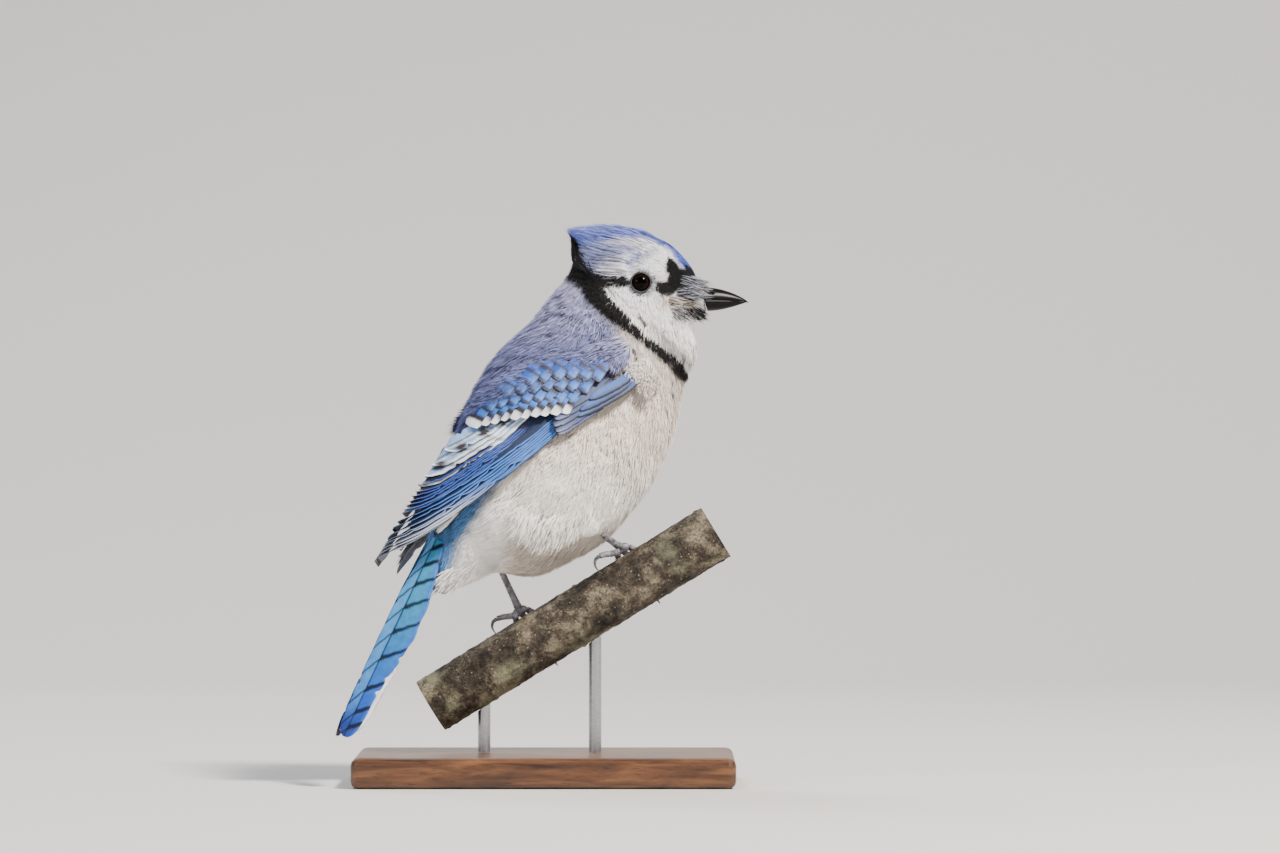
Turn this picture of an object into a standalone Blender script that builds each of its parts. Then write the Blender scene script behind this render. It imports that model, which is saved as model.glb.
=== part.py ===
"""Blue jay gripping a cut length of branch on a plain display stand, life size.

+X is the way the bill points, +Z is up, and the bird's right side faces -Y.
The origin is the centre of the stand's underside. All values are in metres.
"""
import math
import random
from collections import namedtuple

import bmesh
import bpy
import numpy as np
from mathutils import Matrix, Vector

MM = 0.001

# Whole model
GAP = 0.3 * MM
BODY_TURN = math.radians(20)  # how far the body points away to the bird's left
HEAD_TURN = math.radians(3)
BODY_Y = -3.8 * MM  # where the body's mid plane passes X = 0
KEEL = 0.25  # how much narrower the flesh grows from its back to its front
RING_POINTS = 20

# A station is one cross-section of the flesh: its back point, its front point and its width.
Station = namedtuple("Station", "back_x back_z front_x front_z half_width")
NECK = [
    Station(10.3, 202.0, 56.5, 160.1, 20.0),
    Station(2.0, 192.1, 53.4, 150.2, 24.0),
    Station(-5.9, 181.8, 51.0, 137.6, 28.0),
]
TORSO = [
    NECK[-1],
    Station(-17.8, 170.4, 45.5, 125.3, 31.5),
    Station(-26.5, 156.9, 39.9, 114.6, 33.0),
    Station(-32.0, 144.3, 32.8, 105.9, 32.5),
    Station(-35.2, 134.8, 21.7, 94.1, 30.0),
    Station(-37.6, 123.7, 8.3, 86.6, 25.5),
    Station(-40.0, 112.9, -5.1, 81.4, 19.5),
    Station(-42.5, 103.8, -17.0, 83.4, 13.0),
]
HEAD = [
    NECK[0],
    Station(11.8, 207.0, 59.7, 165.6, 19.0),
    Station(16.0, 212.3, 60.5, 172.4, 18.0),
    Station(22.5, 216.2, 58.9, 178.3, 17.0),
    Station(31.6, 217.8, 59.3, 182.2, 15.0),
    Station(40.7, 217.0, 60.9, 184.2, 13.0),
    Station(49.4, 213.1, 62.5, 185.0, 10.6),
    Station(56.5, 205.9, 63.6, 185.8, 7.6),
    Station(59.7, 200.4, 64.0, 186.6, 5.6),
]
VENT = [
    Station(-34.0, 97.0, -17.6, 84.2, 7.5),
    Station(-36.5, 92.5, -25.7, 82.6, 7.0),
    Station(-39.5, 85.5, -32.8, 79.0, 5.0),
    Station(-42.0, 78.5, -39.5, 75.0, 2.4),
]
VENT_TIP = 2.4 * MM
VENT_TIP_SHARE = 0.15  # depth of the last ring by that of the one before it
VENT_TIP_WIDTH = 0.2

# Eyes
EYE_RADIUS = 4.2 * MM
EYE_X = 37.9 * MM
EYE_Z = 197.7 * MM
EYE_SINK = 2.6 * MM  # centre of the ball below the surface of the head
LID_RADIUS = 4.15 * MM
LID_THICKNESS = 0.75 * MM

# Bill, along its mouth line from the base to the tip
BILL_TIP_X = 80.6 * MM
MOUTH_BASE_Z = 190.9 * MM
MOUTH_TIP_Z = 190.2 * MM
CULMEN_HEIGHT = 5.4 * MM
GONYS_DEPTH = 4.2 * MM
BILL_HALF_WIDTH = 4.6 * MM
BILL_STEPS = 9
BILL_RING_STEPS = 8
BILL_TIP_HEIGHT = 0.05  # share of the height at the base
BILL_TIP_WIDTH = 0.08
BILL_ARCH = 1.9  # power of the curve that the ridge falls along
BILL_TAPER = 0.85  # power of the curve that the sides draw in along
LOWER_BILL_LENGTH = 0.93  # share of the upper bill's length
NOSTRIL_LENGTH = 1.3 * MM
NOSTRIL_HEIGHT = 0.5 * MM
NOSTRIL_DEPTH = 1.2 * MM
NOSTRIL_FORWARD = 2.6 * MM
NOSTRIL_UP = 2.9 * MM  # above the mouth line
NOSTRIL_OUT = 0.72  # share of the bill's half width

# Wings, drawn in side view on a bed that lies over the torso and runs on to the wing tips
WING_TIP_BED = [
    Station(-38.7, 135.6, 15.8, 96.1, 31.0),
    Station(-44.3, 124.5, -2.0, 89.7, 26.0),
    Station(-50.2, 113.1, -21.7, 85.8, 20.5),
    Station(-56.5, 101.2, -39.5, 83.0, 15.0),
    Station(-62.1, 90.1, -54.2, 80.2, 11.0),
    Station(-67.6, 82.2, -63.2, 75.5, 8.5),
]
BED_LIFT = 0.4 * MM
WING_BEND_X = 43.5
WING_BEND_Z = 163.3
WING_TIP_X = -64.4
WING_TIP_Z = 87.4
# The arm of the wing, which the feathers grow from, as (along, up) from the bend in mm
ARM_LOWER_EDGE = [(0.0, 0.0), (16.0, 0.4), (41.0, 2.4), (62.0, 4.5), (80.0, 7.0)]
ARM_UPPER_EDGE = [(2.0, 8.0), (16.0, 13.0), (38.0, 18.0), (60.0, 19.0), (78.0, 16.5)]
ARM_THICKNESS = 2.7 * MM
ARM_CROSS_STEPS = 5
WING_EDGE = 0.9 * MM
VANE_RISE = 2.2  # a vane is fully lifted after one part in this many of its length
VANE_THICKNESS = 0.55 * MM
FAR_WING_SHARE = 0.86  # the left wing is folded higher and closer than the right one
# A tier of vanes, laid like shingles with the upper one over the lower one: how many, the first and last
# root and the first, middle and last tip as (along, up) from the bend in mm, the half width, the lift of
# the roots, the lift of the first and last upper edge, how much higher the lower edge lies, all in mm,
# and the number of cross-sections
Tier = namedtuple("Tier", "count roots tips half_width root_lift base tilt steps")
WING_TIERS = [
    Tier(5, ((28, 4.4), (34, 9.0)), ((119, 3.0), (131.5, 1.8), (115, 8.6)), 3.4, 0.9, (0.4, 1.2), 2.8, 6),
    Tier(3, ((44, 9.6), (54, 14.0)), ((111, 9.8), (106, 11.8), (99, 14.2)), 3.9, 0.9, (1.2, 1.6), 2.6, 6),
    Tier(3, ((54, 14.6), (60, 17.2)), ((95, 15.2), (89, 17.0), (82, 18.8)), 3.8, 1.0, (1.7, 1.9), 2.2, 5),
    Tier(2, ((13, 3.0), (17, 6.0)), ((46, 2.6), (45, 4.0), (43, 6.4)), 2.8, 1.1, (3.0, 3.2), 0.8, 4),
    Tier(6, ((20, 7.5), (54, 17.0)), ((37, 7.0), (57, 14.6), (74, 18.6)), 4.0, 1.2, (2.8, 2.6), 1.6, 4),
    Tier(5, ((11, 9.5), (42, 17.5)), ((27, 10.4), (45, 16.4), (61, 18.8)), 3.8, 1.4, (3.8, 3.4), 1.2, 4),
    Tier(2, ((4, 1.6), (6, 4.0)), ((28, 1.0), (27, 2.2), (25, 3.6)), 2.2, 1.2, (3.6, 3.8), 0.6, 4),
]
FAR_WING_DROP = 5.5  # mm by which it also hangs lower

# Tail, roof-shaped and folded
TAIL_RIDGE_X = -43.6 * MM
TAIL_RIDGE_Z = 101.4 * MM
TAIL_TIP_X = -81.2 * MM
TAIL_TIP_Z = 20.9 * MM
TAIL_ROOF = math.radians(35)  # how far each half falls from the ridge
TAIL_ROOT_LENGTH = 26 * MM
TAIL_ROOT_WIDTH = 7.5 * MM
TAIL_ROOT_THICKNESS = 6.0 * MM
TAIL_ROOT_RINGS = 6
TAIL_ROOT_COLUMNS = 3  # on each side of the ridge
TAIL_ROOT_THINNING = 0.85
TAIL_ROOT_WIDENING = 0.25
TAIL_ROOT_TOP = 0.3  # share of the thickness that its upper face lies below the ridge
TAIL_ROOT_CROWN = 0.5  # how much thinner it is at its sides
TAIL_PAIRS = 6
RECTRIX_HALF_WIDTH = 4.4 * MM
RECTRIX_THICKNESS = 0.55 * MM
RECTRIX_SPACING = 0.7 * MM  # between the shafts of two neighbours
RECTRIX_STACK = 0.4 * MM  # each lies this much below the one nearer the ridge
RECTRIX_SHORTENING = 2.4 * MM
RECTRIX_STEPS = 7
RECTRIX_START = 5 * MM  # from the rump to the roots inside the tail's own root
RECTRIX_START_OUT = 2 * MM
RECTRIX_FAN = 0.35  # share of the spacing at the tips that the roots already have
RECTRIX_OUTER_SHARE = 0.9  # width of the outer half of the first pair by that of the inner half
RECTRIX_NARROWING = 0.04  # of the outer half of each feather after the first pair

# Crest and nape feathers: share along the head, angle from its top, length, lift at the tip, half width
Tuft = namedtuple("Tuft", "station angle length rise half_width")
CREST = [
    Tuft(4.5, 0, 24, 1.0, 3.2),
    Tuft(4.1, 26, 16, 0.8, 3.0),
    Tuft(3.3, 12, 16, 1.0, 3.0),
    Tuft(3.0, 40, 12, 0.4, 3.0),
    Tuft(2.5, 0, 14, 0.4, 3.0),
    Tuft(2.1, 26, 9, 0.0, 3.0),
    Tuft(1.3, 12, 6, -0.6, 3.0),
    Tuft(1.1, 42, 5.5, -0.8, 2.8),
]
CREST_SEED = 7
CREST_SINK = 1.2 * MM  # depth of the roots below the crown
CREST_CLOSING = 0.10  # how much the feathers of the two sides lean together
CREST_LIFT = 0.02  # rise per unit length for each mm that the tip rises

# Branch and what grips it
BRANCH_RADIUS = 11.3 * MM
BRANCH_X = -17.8 * MM
BRANCH_Z = 47.1 * MM
BRANCH_SLOPE = math.radians(31.4)
BRANCH_START = -32 * MM
BRANCH_END = 100 * MM
BRANCH_SIDES = 24
BRANCH_RINGS = 15
BRANCH_KNOTS = ((-23, 2.2, 2.2), (51, 3.95, 1.8), (87, 4.9, 1.8))  # mm along, angle, height in mm
KNOT_LENGTH = 8 * MM
KNOT_SPREAD = 0.35

FOOT_ALONG = {"right": 65.0 * MM, "left": 17.6 * MM}
FOOT_BALL = 2.2 * MM
KNUCKLE_LENGTH = 3.3 * MM
LEG_RADIUS = 1.45 * MM
LEG_SWELLING = [1.25, 1.0, 0.92, 0.92, 1.0, 1.2]  # of the radius, from the ankle to the foot
ANKLE = {"right": (13.0, -17.0, 105.0), "left": (-22.5, 2.0, 95.0)}
THIGH_LENGTH = 22 * MM
THIGH_RADIUS = 6.0 * MM
# Each toe: start angle round the branch, end angle, spread at the start and at the end, radius
Toe = namedtuple("Toe", "start end spread_start spread_end radius claw_turn")
TOES = {
    "inner": Toe(17, 96, 3.0, 7.5, 1.15, 48),
    "middle": Toe(17, 118, 0.0, 1.0, 1.25, 50),
    "outer": Toe(17, 102, -3.0, -6.5, 1.15, 46),
}
# The hind toe arches down the branch and its claw hooks over the near side:
# mm along from the foot, angle from the top in degrees, mm from the axis
HIND_TOE = [(-1.5, -20, 14.0), (-4.4, -19, 15.0), (-6.9, -20, 16.3), (-9.0, -21, 17.0)]
HIND_CLAW = [
    (-9.4, -21.3, 17.1), (-11.2, -24, 17.0), (-12.4, -28, 15.9), (-12.6, -33, 14.4), (-11.9, -40, 12.4),
]
HIND_RADIUS = 1.35 * MM
TOE_END = 0.8  # radius of a toe's end by that of its start
CLAW_RADIUS = 0.85 * MM
CLAW_POINT = 0.18  # radius of a claw's point by that of its start
CLAW_INSET = 0.9  # how far the claw's axis starts from the branch, by its toe's radius
CLAW_HUMP = 1.3 * MM
CLAW_HUMP_TURN = 0.94  # share of a half wave that the hump runs through

# Stand
BASE_LENGTH = 150 * MM
BASE_WIDTH = 100 * MM
BASE_HEIGHT = 12 * MM
BASE_BEVEL = 3 * MM
ROD_RADIUS = 2.5 * MM
ROD_X = {"front": 19.8 * MM, "rear": -24.0 * MM}

COLLECTION = "blue_jay"
CUTTERS = "cutters"
COLOURS = {  # base colour, roughness, metallic
    "blue": ((0.10, 0.22, 0.52), 0.60, 0.0),
    "lavender": ((0.20, 0.22, 0.42), 0.75, 0.0),
    "white": ((0.80, 0.79, 0.77), 0.80, 0.0),
    "black": ((0.012, 0.012, 0.016), 0.45, 0.0),
    "eye": ((0.015, 0.008, 0.005), 0.08, 0.0),
    "leg": ((0.05, 0.05, 0.055), 0.55, 0.0),
    "bark": ((0.13, 0.11, 0.085), 0.90, 0.0),
    "walnut": ((0.10, 0.045, 0.02), 0.45, 0.0),
    "steel": ((0.55, 0.55, 0.56), 0.30, 1.0),
}


def clear_scene():
    for thing in list(bpy.data.objects):
        bpy.data.objects.remove(thing, do_unlink=True)


def collection(name):
    made = bpy.data.collections.get(name) or bpy.data.collections.new(name)
    if name not in bpy.context.scene.collection.children:
        bpy.context.scene.collection.children.link(made)
    return made


def add_object(name, mesh, where=COLLECTION):
    made = bpy.data.objects.new(name, mesh)
    collection(where).objects.link(made)
    return made


def take_primitive(name, where=COLLECTION):
    """Name the primitive just added and move it to its collection."""
    made = bpy.context.object
    made.name = name
    for holder in list(made.users_collection):
        holder.objects.unlink(made)
    collection(where).objects.link(made)
    return made


def paint(thing, colour):
    material = bpy.data.materials.new(thing.name)
    material.use_nodes = True
    shader = material.node_tree.nodes["Principled BSDF"]
    base, roughness, metallic = COLOURS[colour]
    shader.inputs["Base Color"].default_value = (*base, 1.0)
    shader.inputs["Roughness"].default_value = roughness
    shader.inputs["Metallic"].default_value = metallic
    thing.data.materials.clear()
    thing.data.materials.append(material)
    material.diffuse_color = (*base, 1.0)


def mesh_of(points, faces, name):
    """A mesh from points and faces, its faces turned outwards."""
    mesh = bpy.data.meshes.new(name)
    mesh.from_pydata([tuple(point) for point in points], [], faces)
    work = bmesh.new()
    work.from_mesh(mesh)
    bmesh.ops.recalc_face_normals(work, faces=work.faces)
    work.to_mesh(mesh)
    work.free()
    return mesh


def smooth_rows(rows, per_span):
    """Rows of numbers with per_span steps between each pair, on a Catmull-Rom curve."""
    rows = np.asarray(rows, dtype=float)
    padded = np.vstack([2 * rows[0] - rows[1], rows, 2 * rows[-1] - rows[-2]])
    steps = np.arange(per_span) / per_span
    out = []
    for before, start, end, after in zip(padded, padded[1:], padded[2:], padded[3:]):
        for t in steps:
            out.append(0.5 * (
                2 * start + (end - before) * t
                + (2 * before - 5 * start + 4 * end - after) * t ** 2
                + (3 * start - before - 3 * end + after) * t ** 3
            ))
    out.append(rows[-1])
    return np.array(out)


def close_rings(rings, name):
    """A closed loft through rings of equal length, with a flat fan at each end."""
    count = len(rings[0])
    points = [point for ring in rings for point in ring]
    faces = []
    for row in range(len(rings) - 1):
        for col in range(count):
            near = row * count + col
            side = row * count + (col + 1) % count
            faces.append((near, side, side + count, near + count))
    faces.append(tuple(range(count)))
    last = (len(rings) - 1) * count
    faces.append(tuple(last + col for col in reversed(range(count))))
    return mesh_of(points, faces, name)


def body_y(x):
    return BODY_Y + x * math.tan(BODY_TURN)


def head_y(x):
    neck_x = 0.5 * (NECK[0].back_x + NECK[0].front_x) * MM
    return body_y(neck_x) + (x - neck_x) * math.tan(HEAD_TURN)


def station_row(station, turn, y_of):
    """Back point, front point, half width and turn of a station, as one row of numbers."""
    back_x, back_z, front_x, front_z, half_width = (value * MM for value in station)
    return [back_x, y_of(back_x), back_z, front_x, y_of(front_x), front_z, half_width, turn]


def flesh_rows(stations, turn, y_of, per_span):
    return smooth_rows([station_row(station, turn, y_of) for station in stations], per_span)


def flesh_point(row, angle, grow=0.0):
    """Point and outward direction at an angle from the back, positive to the bird's right."""
    back = np.array(row[:3])
    front = np.array(row[3:6])
    centre = 0.5 * (back + front)
    depth = 0.5 * np.linalg.norm(back - front)
    up = (back - front) / (2 * depth)
    right = np.array([math.sin(row[7]), -math.cos(row[7]), 0.0])
    width = row[6] * (1 - KEEL * (0.5 - 0.5 * math.cos(angle)) ** 2)
    place = centre + math.cos(angle) * (depth + grow) * up + math.sin(angle) * (width + grow) * right
    out = math.cos(angle) / depth * up + math.sin(angle) / width * right
    return place, out / np.linalg.norm(out)


def flesh_ring(row, grow=0.0, points=RING_POINTS):
    return [flesh_point(row, 2 * math.pi * step / points, grow)[0] for step in range(points)]


def flesh_loft(rows, name, grow=0.0):
    return close_rings([flesh_ring(row, grow) for row in rows], name)


def shifted_end(rows, end, distance):
    """Rows with one end moved along the flesh, to leave a gap to the next node."""
    rows = rows.copy()
    last, other = (-1, -2) if end == "last" else (0, 1)
    step = rows[last, :6] - rows[other, :6]
    length = 0.5 * (np.linalg.norm(step[:3]) + np.linalg.norm(step[3:6]))
    rows[last, :6] += step / length * distance
    return rows


def on_flesh(rows, x, z, lift, side):
    """The point of the surface that side view shows at x, z, with its outward direction."""
    sag_x = x
    for _ in range(6):
        back = rows[:, [0, 2]]
        across = rows[:, [3, 5]] - back
        to_point = np.array([sag_x, z]) - back
        turn = across[:, 0] * to_point[:, 1] - across[:, 1] * to_point[:, 0]
        crossing = np.nonzero(np.diff(np.sign(turn)))[0]
        index = int(crossing[0]) if len(crossing) else (0 if abs(turn[0]) < abs(turn[-1]) else len(rows) - 2)
        share = np.clip(turn[index] / (turn[index] - turn[index + 1]), 0.0, 1.0)
        row = rows[index] * (1 - share) + rows[index + 1] * share
        line = row[[3, 5]] - row[[0, 2]]
        along = float(np.dot(np.array([sag_x, z]) - row[[0, 2]], line) / np.dot(line, line))
        angle = math.acos(np.clip(1 - 2 * along, -0.97, 0.97))
        width = row[6] * (1 - KEEL * (0.5 - 0.5 * math.cos(angle)) ** 2)
        sag_x = x - math.sin(row[7]) * width * math.sin(angle)
    place, out = flesh_point(row, side * angle)
    return place + lift * out, out


def apply_boolean(thing, operand, operation, solver="EXACT"):
    """Unite or cut an object with an object or a collection, and keep its largest body."""
    modifier = thing.modifiers.new(operation.lower(), "BOOLEAN")
    modifier.operation = operation
    modifier.solver = solver
    if isinstance(operand, bpy.types.Collection):
        modifier.operand_type = "COLLECTION"
        modifier.collection = operand
    else:
        modifier.object = operand
    bpy.context.view_layer.update()
    evaluated = thing.evaluated_get(bpy.context.evaluated_depsgraph_get())
    mesh = bpy.data.meshes.new_from_object(evaluated)
    thing.modifiers.clear()
    thing.data = mesh
    keep_largest(thing.data)
    used = list(operand.objects) if isinstance(operand, bpy.types.Collection) else [operand]
    for spent in used:
        bpy.data.objects.remove(spent, do_unlink=True)


def keep_largest(mesh):
    """Leave only the closed surface with the largest box."""
    work = bmesh.new()
    work.from_mesh(mesh)
    work.verts.ensure_lookup_table()
    group = [-1] * len(work.verts)
    sizes = []
    for first in work.verts:
        if group[first.index] >= 0:
            continue
        number = len(sizes)
        group[first.index] = number
        stack = [first]
        low = first.co.copy()
        high = first.co.copy()
        while stack:
            vertex = stack.pop()
            for axis in range(3):
                low[axis] = min(low[axis], vertex.co[axis])
                high[axis] = max(high[axis], vertex.co[axis])
            for edge in vertex.link_edges:
                other = edge.other_vert(vertex)
                if group[other.index] < 0:
                    group[other.index] = number
                    stack.append(other)
        sizes.append((high - low).length)
    largest = sizes.index(max(sizes))
    spare = [vertex for vertex in work.verts if group[vertex.index] != largest]
    bmesh.ops.delete(work, geom=spare, context="VERTS")
    work.to_mesh(mesh)
    work.free()


def cutter(name, mesh):
    made = add_object(name, mesh, CUTTERS)
    made.hide_render = True
    made.display_type = "WIRE"
    return made


def ball_mesh(name, centre, radii, turn=None, segments=24, rings=14):
    """A closed ball or egg from a primitive."""
    work = bmesh.new()
    bmesh.ops.create_uvsphere(work, u_segments=segments, v_segments=rings, radius=1.0)
    placed = Matrix.Translation(centre) @ (turn or Matrix.Identity(4)) @ Matrix.Diagonal((*radii, 1.0))
    bmesh.ops.transform(work, matrix=placed, verts=work.verts)
    mesh = bpy.data.meshes.new(name)
    work.to_mesh(mesh)
    work.free()
    return mesh


def tube_mesh(name, path, radii, sides=8):
    """A closed round tube along a path of points, with its own radius at each."""
    path = np.asarray(path, dtype=float)
    tangents = np.gradient(path, axis=0)
    tangents /= np.linalg.norm(tangents, axis=1)[:, None]
    normal = np.cross(tangents[0], (0.31, 0.84, 0.44))
    normal /= np.linalg.norm(normal)
    rings = []
    for centre, tangent, radius in zip(path, tangents, radii):
        normal = normal - tangent * np.dot(normal, tangent)
        normal /= np.linalg.norm(normal)
        binormal = np.cross(tangent, normal)
        ring = []
        for step in range(sides):
            angle = 2 * math.pi * step / sides
            ring.append(centre + radius * (math.cos(angle) * normal + math.sin(angle) * binormal))
        rings.append(ring)
    return close_rings(rings, name)


def build_neck():
    rows = flesh_rows(NECK, BODY_TURN, body_y, 3)
    rows[0] = station_row(NECK[0], 0.5 * (BODY_TURN + HEAD_TURN), body_y)
    rows = shifted_end(rows, "first", -0.5 * GAP)
    rows = shifted_end(rows, "last", -0.5 * GAP)
    paint(add_object("neck", flesh_loft(rows, "neck")), "lavender")


def build_torso():
    rows = flesh_rows(TORSO, BODY_TURN, body_y, 2)
    rows = shifted_end(rows, "first", -0.5 * GAP)
    torso = add_object("torso", flesh_loft(rows, "torso"))
    for foot in FOOT_ALONG:
        apply_boolean(torso, cutter("thigh_cut", thigh_mesh(foot, GAP)), "DIFFERENCE")
        apply_boolean(torso, cutter("leg_cut", shank_mesh(foot, GAP)), "DIFFERENCE")
    paint(torso, "white")


def build_vent():
    """The long soft feathers under the root of the tail."""
    rows = flesh_rows(VENT, BODY_TURN, body_y, 3)
    tip = rows[-1].copy()
    push = (rows[-1, :3] - rows[-2, :3]) / np.linalg.norm(rows[-1, :3] - rows[-2, :3])
    middle = 0.5 * (tip[:3] + tip[3:6]) + push * VENT_TIP
    tip[:3] = middle + VENT_TIP_SHARE * (tip[:3] - middle)
    tip[3:6] = middle + VENT_TIP_SHARE * (tip[3:6] - middle)
    tip[6] *= VENT_TIP_WIDTH
    rings = [flesh_ring(row) for row in np.vstack([rows, tip])]
    rings[0] = [onto_rump(place, push) for place in rings[0]]
    paint(add_object("vent", close_rings(rings, "vent")), "white")


def head_rows(per_span=2):
    rows = flesh_rows(HEAD, HEAD_TURN, head_y, per_span)
    turns = np.linspace(0.5 * (BODY_TURN + HEAD_TURN), HEAD_TURN, 4)
    rows[:4, 7] = turns
    rows[0, [1, 4]] = station_row(NECK[0], BODY_TURN, body_y)[1], station_row(NECK[0], BODY_TURN, body_y)[4]
    return rows


def build_head():
    """The head with its lids, and both eyes set into it."""
    rows = shifted_end(head_rows(), "first", -0.5 * GAP)
    head = add_object("head", flesh_loft(rows, "head"))
    dense = head_rows(6)
    for side, name in ((1, "right"), (-1, "left")):
        place, out = on_flesh(dense, EYE_X, EYE_Z, 0.0, side)
        facing = Vector(out).to_track_quat("Z", "Y").to_matrix().to_4x4()
        centre = Vector(place - EYE_SINK * out)
        rim = Vector(place + 0.1 * EYE_SINK * out)
        bpy.ops.mesh.primitive_torus_add(
            major_radius=LID_RADIUS, minor_radius=LID_THICKNESS, major_segments=18, minor_segments=6,
        )
        lid = take_primitive("lid")
        lid.data.transform(Matrix.Translation(rim) @ facing)
        apply_boolean(head, lid, "UNION")
        socket = cutter("socket", ball_mesh("socket", centre, (EYE_RADIUS + GAP,) * 3, segments=18, rings=10))
        apply_boolean(head, socket, "DIFFERENCE")
        eye = add_object(f"eye_{name}", ball_mesh("eye", centre, (EYE_RADIUS,) * 3, segments=18, rings=10))
        eye.data.shade_smooth()
        paint(eye, "eye")
    join_all(head, crest_vanes())
    paint(head, "white")


def crest_vanes():
    """Crest and nape feathers, rooted in the crown and laid back one over another."""
    rows = head_rows(10)
    chance = random.Random(CREST_SEED)
    back = np.array([-math.cos(HEAD_TURN), -math.sin(HEAD_TURN), 0.0])
    vanes = []
    for tuft in CREST:
        for side in ((1, -1) if tuft.angle else (1,)):
            row = rows[int(round(tuft.station * 10))]
            place, out = flesh_point(row, side * math.radians(tuft.angle), -CREST_SINK)
            closing = math.copysign(CREST_CLOSING, place[1] - row[1]) if tuft.angle else 0.0
            direction = back + np.array([0.0, -closing, CREST_LIFT * tuft.rise])
            direction /= np.linalg.norm(direction)
            out = out - direction * np.dot(out, direction)
            out /= np.linalg.norm(out)
            length = tuft.length * chance.uniform(0.95, 1.05) * MM
            widths = (tuft.half_width * MM,) * 2
            vanes.append(feather(place, direction, out, length, widths, VANE_THICKNESS, tuft.rise * MM, 4))
    return vanes


def bill_base(z):
    """How far forward the bill starts at a height, just clear of the face."""
    face = HEAD[-1]
    share = (face.back_z * MM - z) / ((face.back_z - face.front_z) * MM)
    return face.back_x * MM + (face.front_x - face.back_x) * MM * share + 1.2 * GAP


def bill_half(name, sign, height, length):
    """One half of the bill, from its flat mouth side to its rounded ridge."""
    rings = []
    for step in range(BILL_STEPS):
        t = step / (BILL_STEPS - 1)
        mouth = MOUTH_BASE_Z + (MOUTH_TIP_Z - MOUTH_BASE_Z) * (t * length) ** 3 + sign * 0.5 * GAP
        rise = height * (BILL_TIP_HEIGHT + (1 - BILL_TIP_HEIGHT) * (1 - t ** BILL_ARCH))
        wide = BILL_HALF_WIDTH * (BILL_TIP_WIDTH + (1 - BILL_TIP_WIDTH) * (1 - t) ** BILL_TAPER)
        ring = []
        for turn in range(BILL_RING_STEPS + 1):
            angle = math.pi * turn / BILL_RING_STEPS
            z = mouth + sign * rise * math.sin(angle)
            x = bill_base(z) + (BILL_TIP_X - bill_base(z)) * t * length
            ring.append((x, head_y(x) + wide * math.cos(angle), z))
        rings.append(ring)
    return close_rings(rings, name)


def build_bill():
    upper = add_object("bill_upper", bill_half("bill_upper", 1, CULMEN_HEIGHT, 1.0))
    x = bill_base(MOUTH_BASE_Z) + NOSTRIL_FORWARD
    for side in (-1, 1):
        centre = Vector((x, head_y(x) + side * NOSTRIL_OUT * BILL_HALF_WIDTH, MOUTH_BASE_Z + NOSTRIL_UP))
        radii = (NOSTRIL_LENGTH, NOSTRIL_DEPTH, NOSTRIL_HEIGHT)
        pit = ball_mesh("nostril", centre, radii, segments=8, rings=6)
        apply_boolean(upper, cutter("nostril", pit), "DIFFERENCE")
    lower = add_object("bill_lower", bill_half("bill_lower", -1, GONYS_DEPTH, LOWER_BILL_LENGTH))
    paint(upper, "black")
    paint(lower, "black")


def wing_bed():
    """Rows of the surface that both wings lie on."""
    front = [Station(*station[:4], station.half_width + 0.6) for station in TORSO[:4]]
    return flesh_rows([NECK[0], NECK[1]] + front + WING_TIP_BED, BODY_TURN, body_y, 6)


def wing_place(along, up):
    """Side view position, from the bend of the wing, along it to its tip and up from that line."""
    run = np.array([WING_TIP_X - WING_BEND_X, WING_TIP_Z - WING_BEND_Z])
    run /= np.linalg.norm(run)
    rise = np.array([run[1], -run[0]])
    return (np.array([WING_BEND_X, WING_BEND_Z]) + along * run + up * rise) * MM


def slab_faces(rows, cols):
    """Triangles of a closed slab of two like grids, split alike on both faces."""
    size = rows * cols
    faces = []
    for row in range(rows - 1):
        for col in range(cols - 1):
            corner = row * cols + col
            for a, b, c in ((0, cols, cols + 1), (0, cols + 1, 1)):
                faces.append((corner + a, corner + b, corner + c))
                faces.append((size + corner + a, size + corner + c, size + corner + b))
    rim = [col for col in range(cols)]
    rim += [row * cols + cols - 1 for row in range(1, rows)]
    rim += [(rows - 1) * cols + col for col in reversed(range(cols - 1))]
    rim += [row * cols for row in reversed(range(1, rows - 1))]
    for start, end in zip(rim, rim[1:] + rim[:1]):
        faces.append((start, end, size + end))
        faces.append((start, size + end, size + start))
    return faces


def vane_width(share):
    """Width of a vane at a share of its length: a narrow root, a full middle and a rounded tip."""
    tip = max(0.0, (share - 0.72) / 0.28)
    return min(1.0, 0.5 + 1.5 * share) * math.sqrt(1 - 0.88 * tip ** 2)


def wing_vane(bed, tier, root, tip, base, side):
    """One feather of the wing, laid on the bed with its lower edge out."""
    across = np.array([-(tip - root)[1], (tip - root)[0]]) / np.linalg.norm(tip - root)
    points = []
    for face in (0, 1):
        for step in range(tier.steps):
            share = step / (tier.steps - 1)
            centre = root + (tip - root) * share
            risen = min(1.0, VANE_RISE * share)
            for col in (-1, 1):
                edge = base + tier.tilt * 0.5 * (1 - col)
                lift = (tier.root_lift + (edge - tier.root_lift) * risen) * MM
                along, up = centre + col * across * tier.half_width * vane_width(share)
                x, z = wing_place(along, up)
                points.append(on_flesh(bed, x, z, lift + face * VANE_THICKNESS, side)[0])
    return mesh_of(points, slab_faces(tier.steps, 2), "vane")


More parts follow.
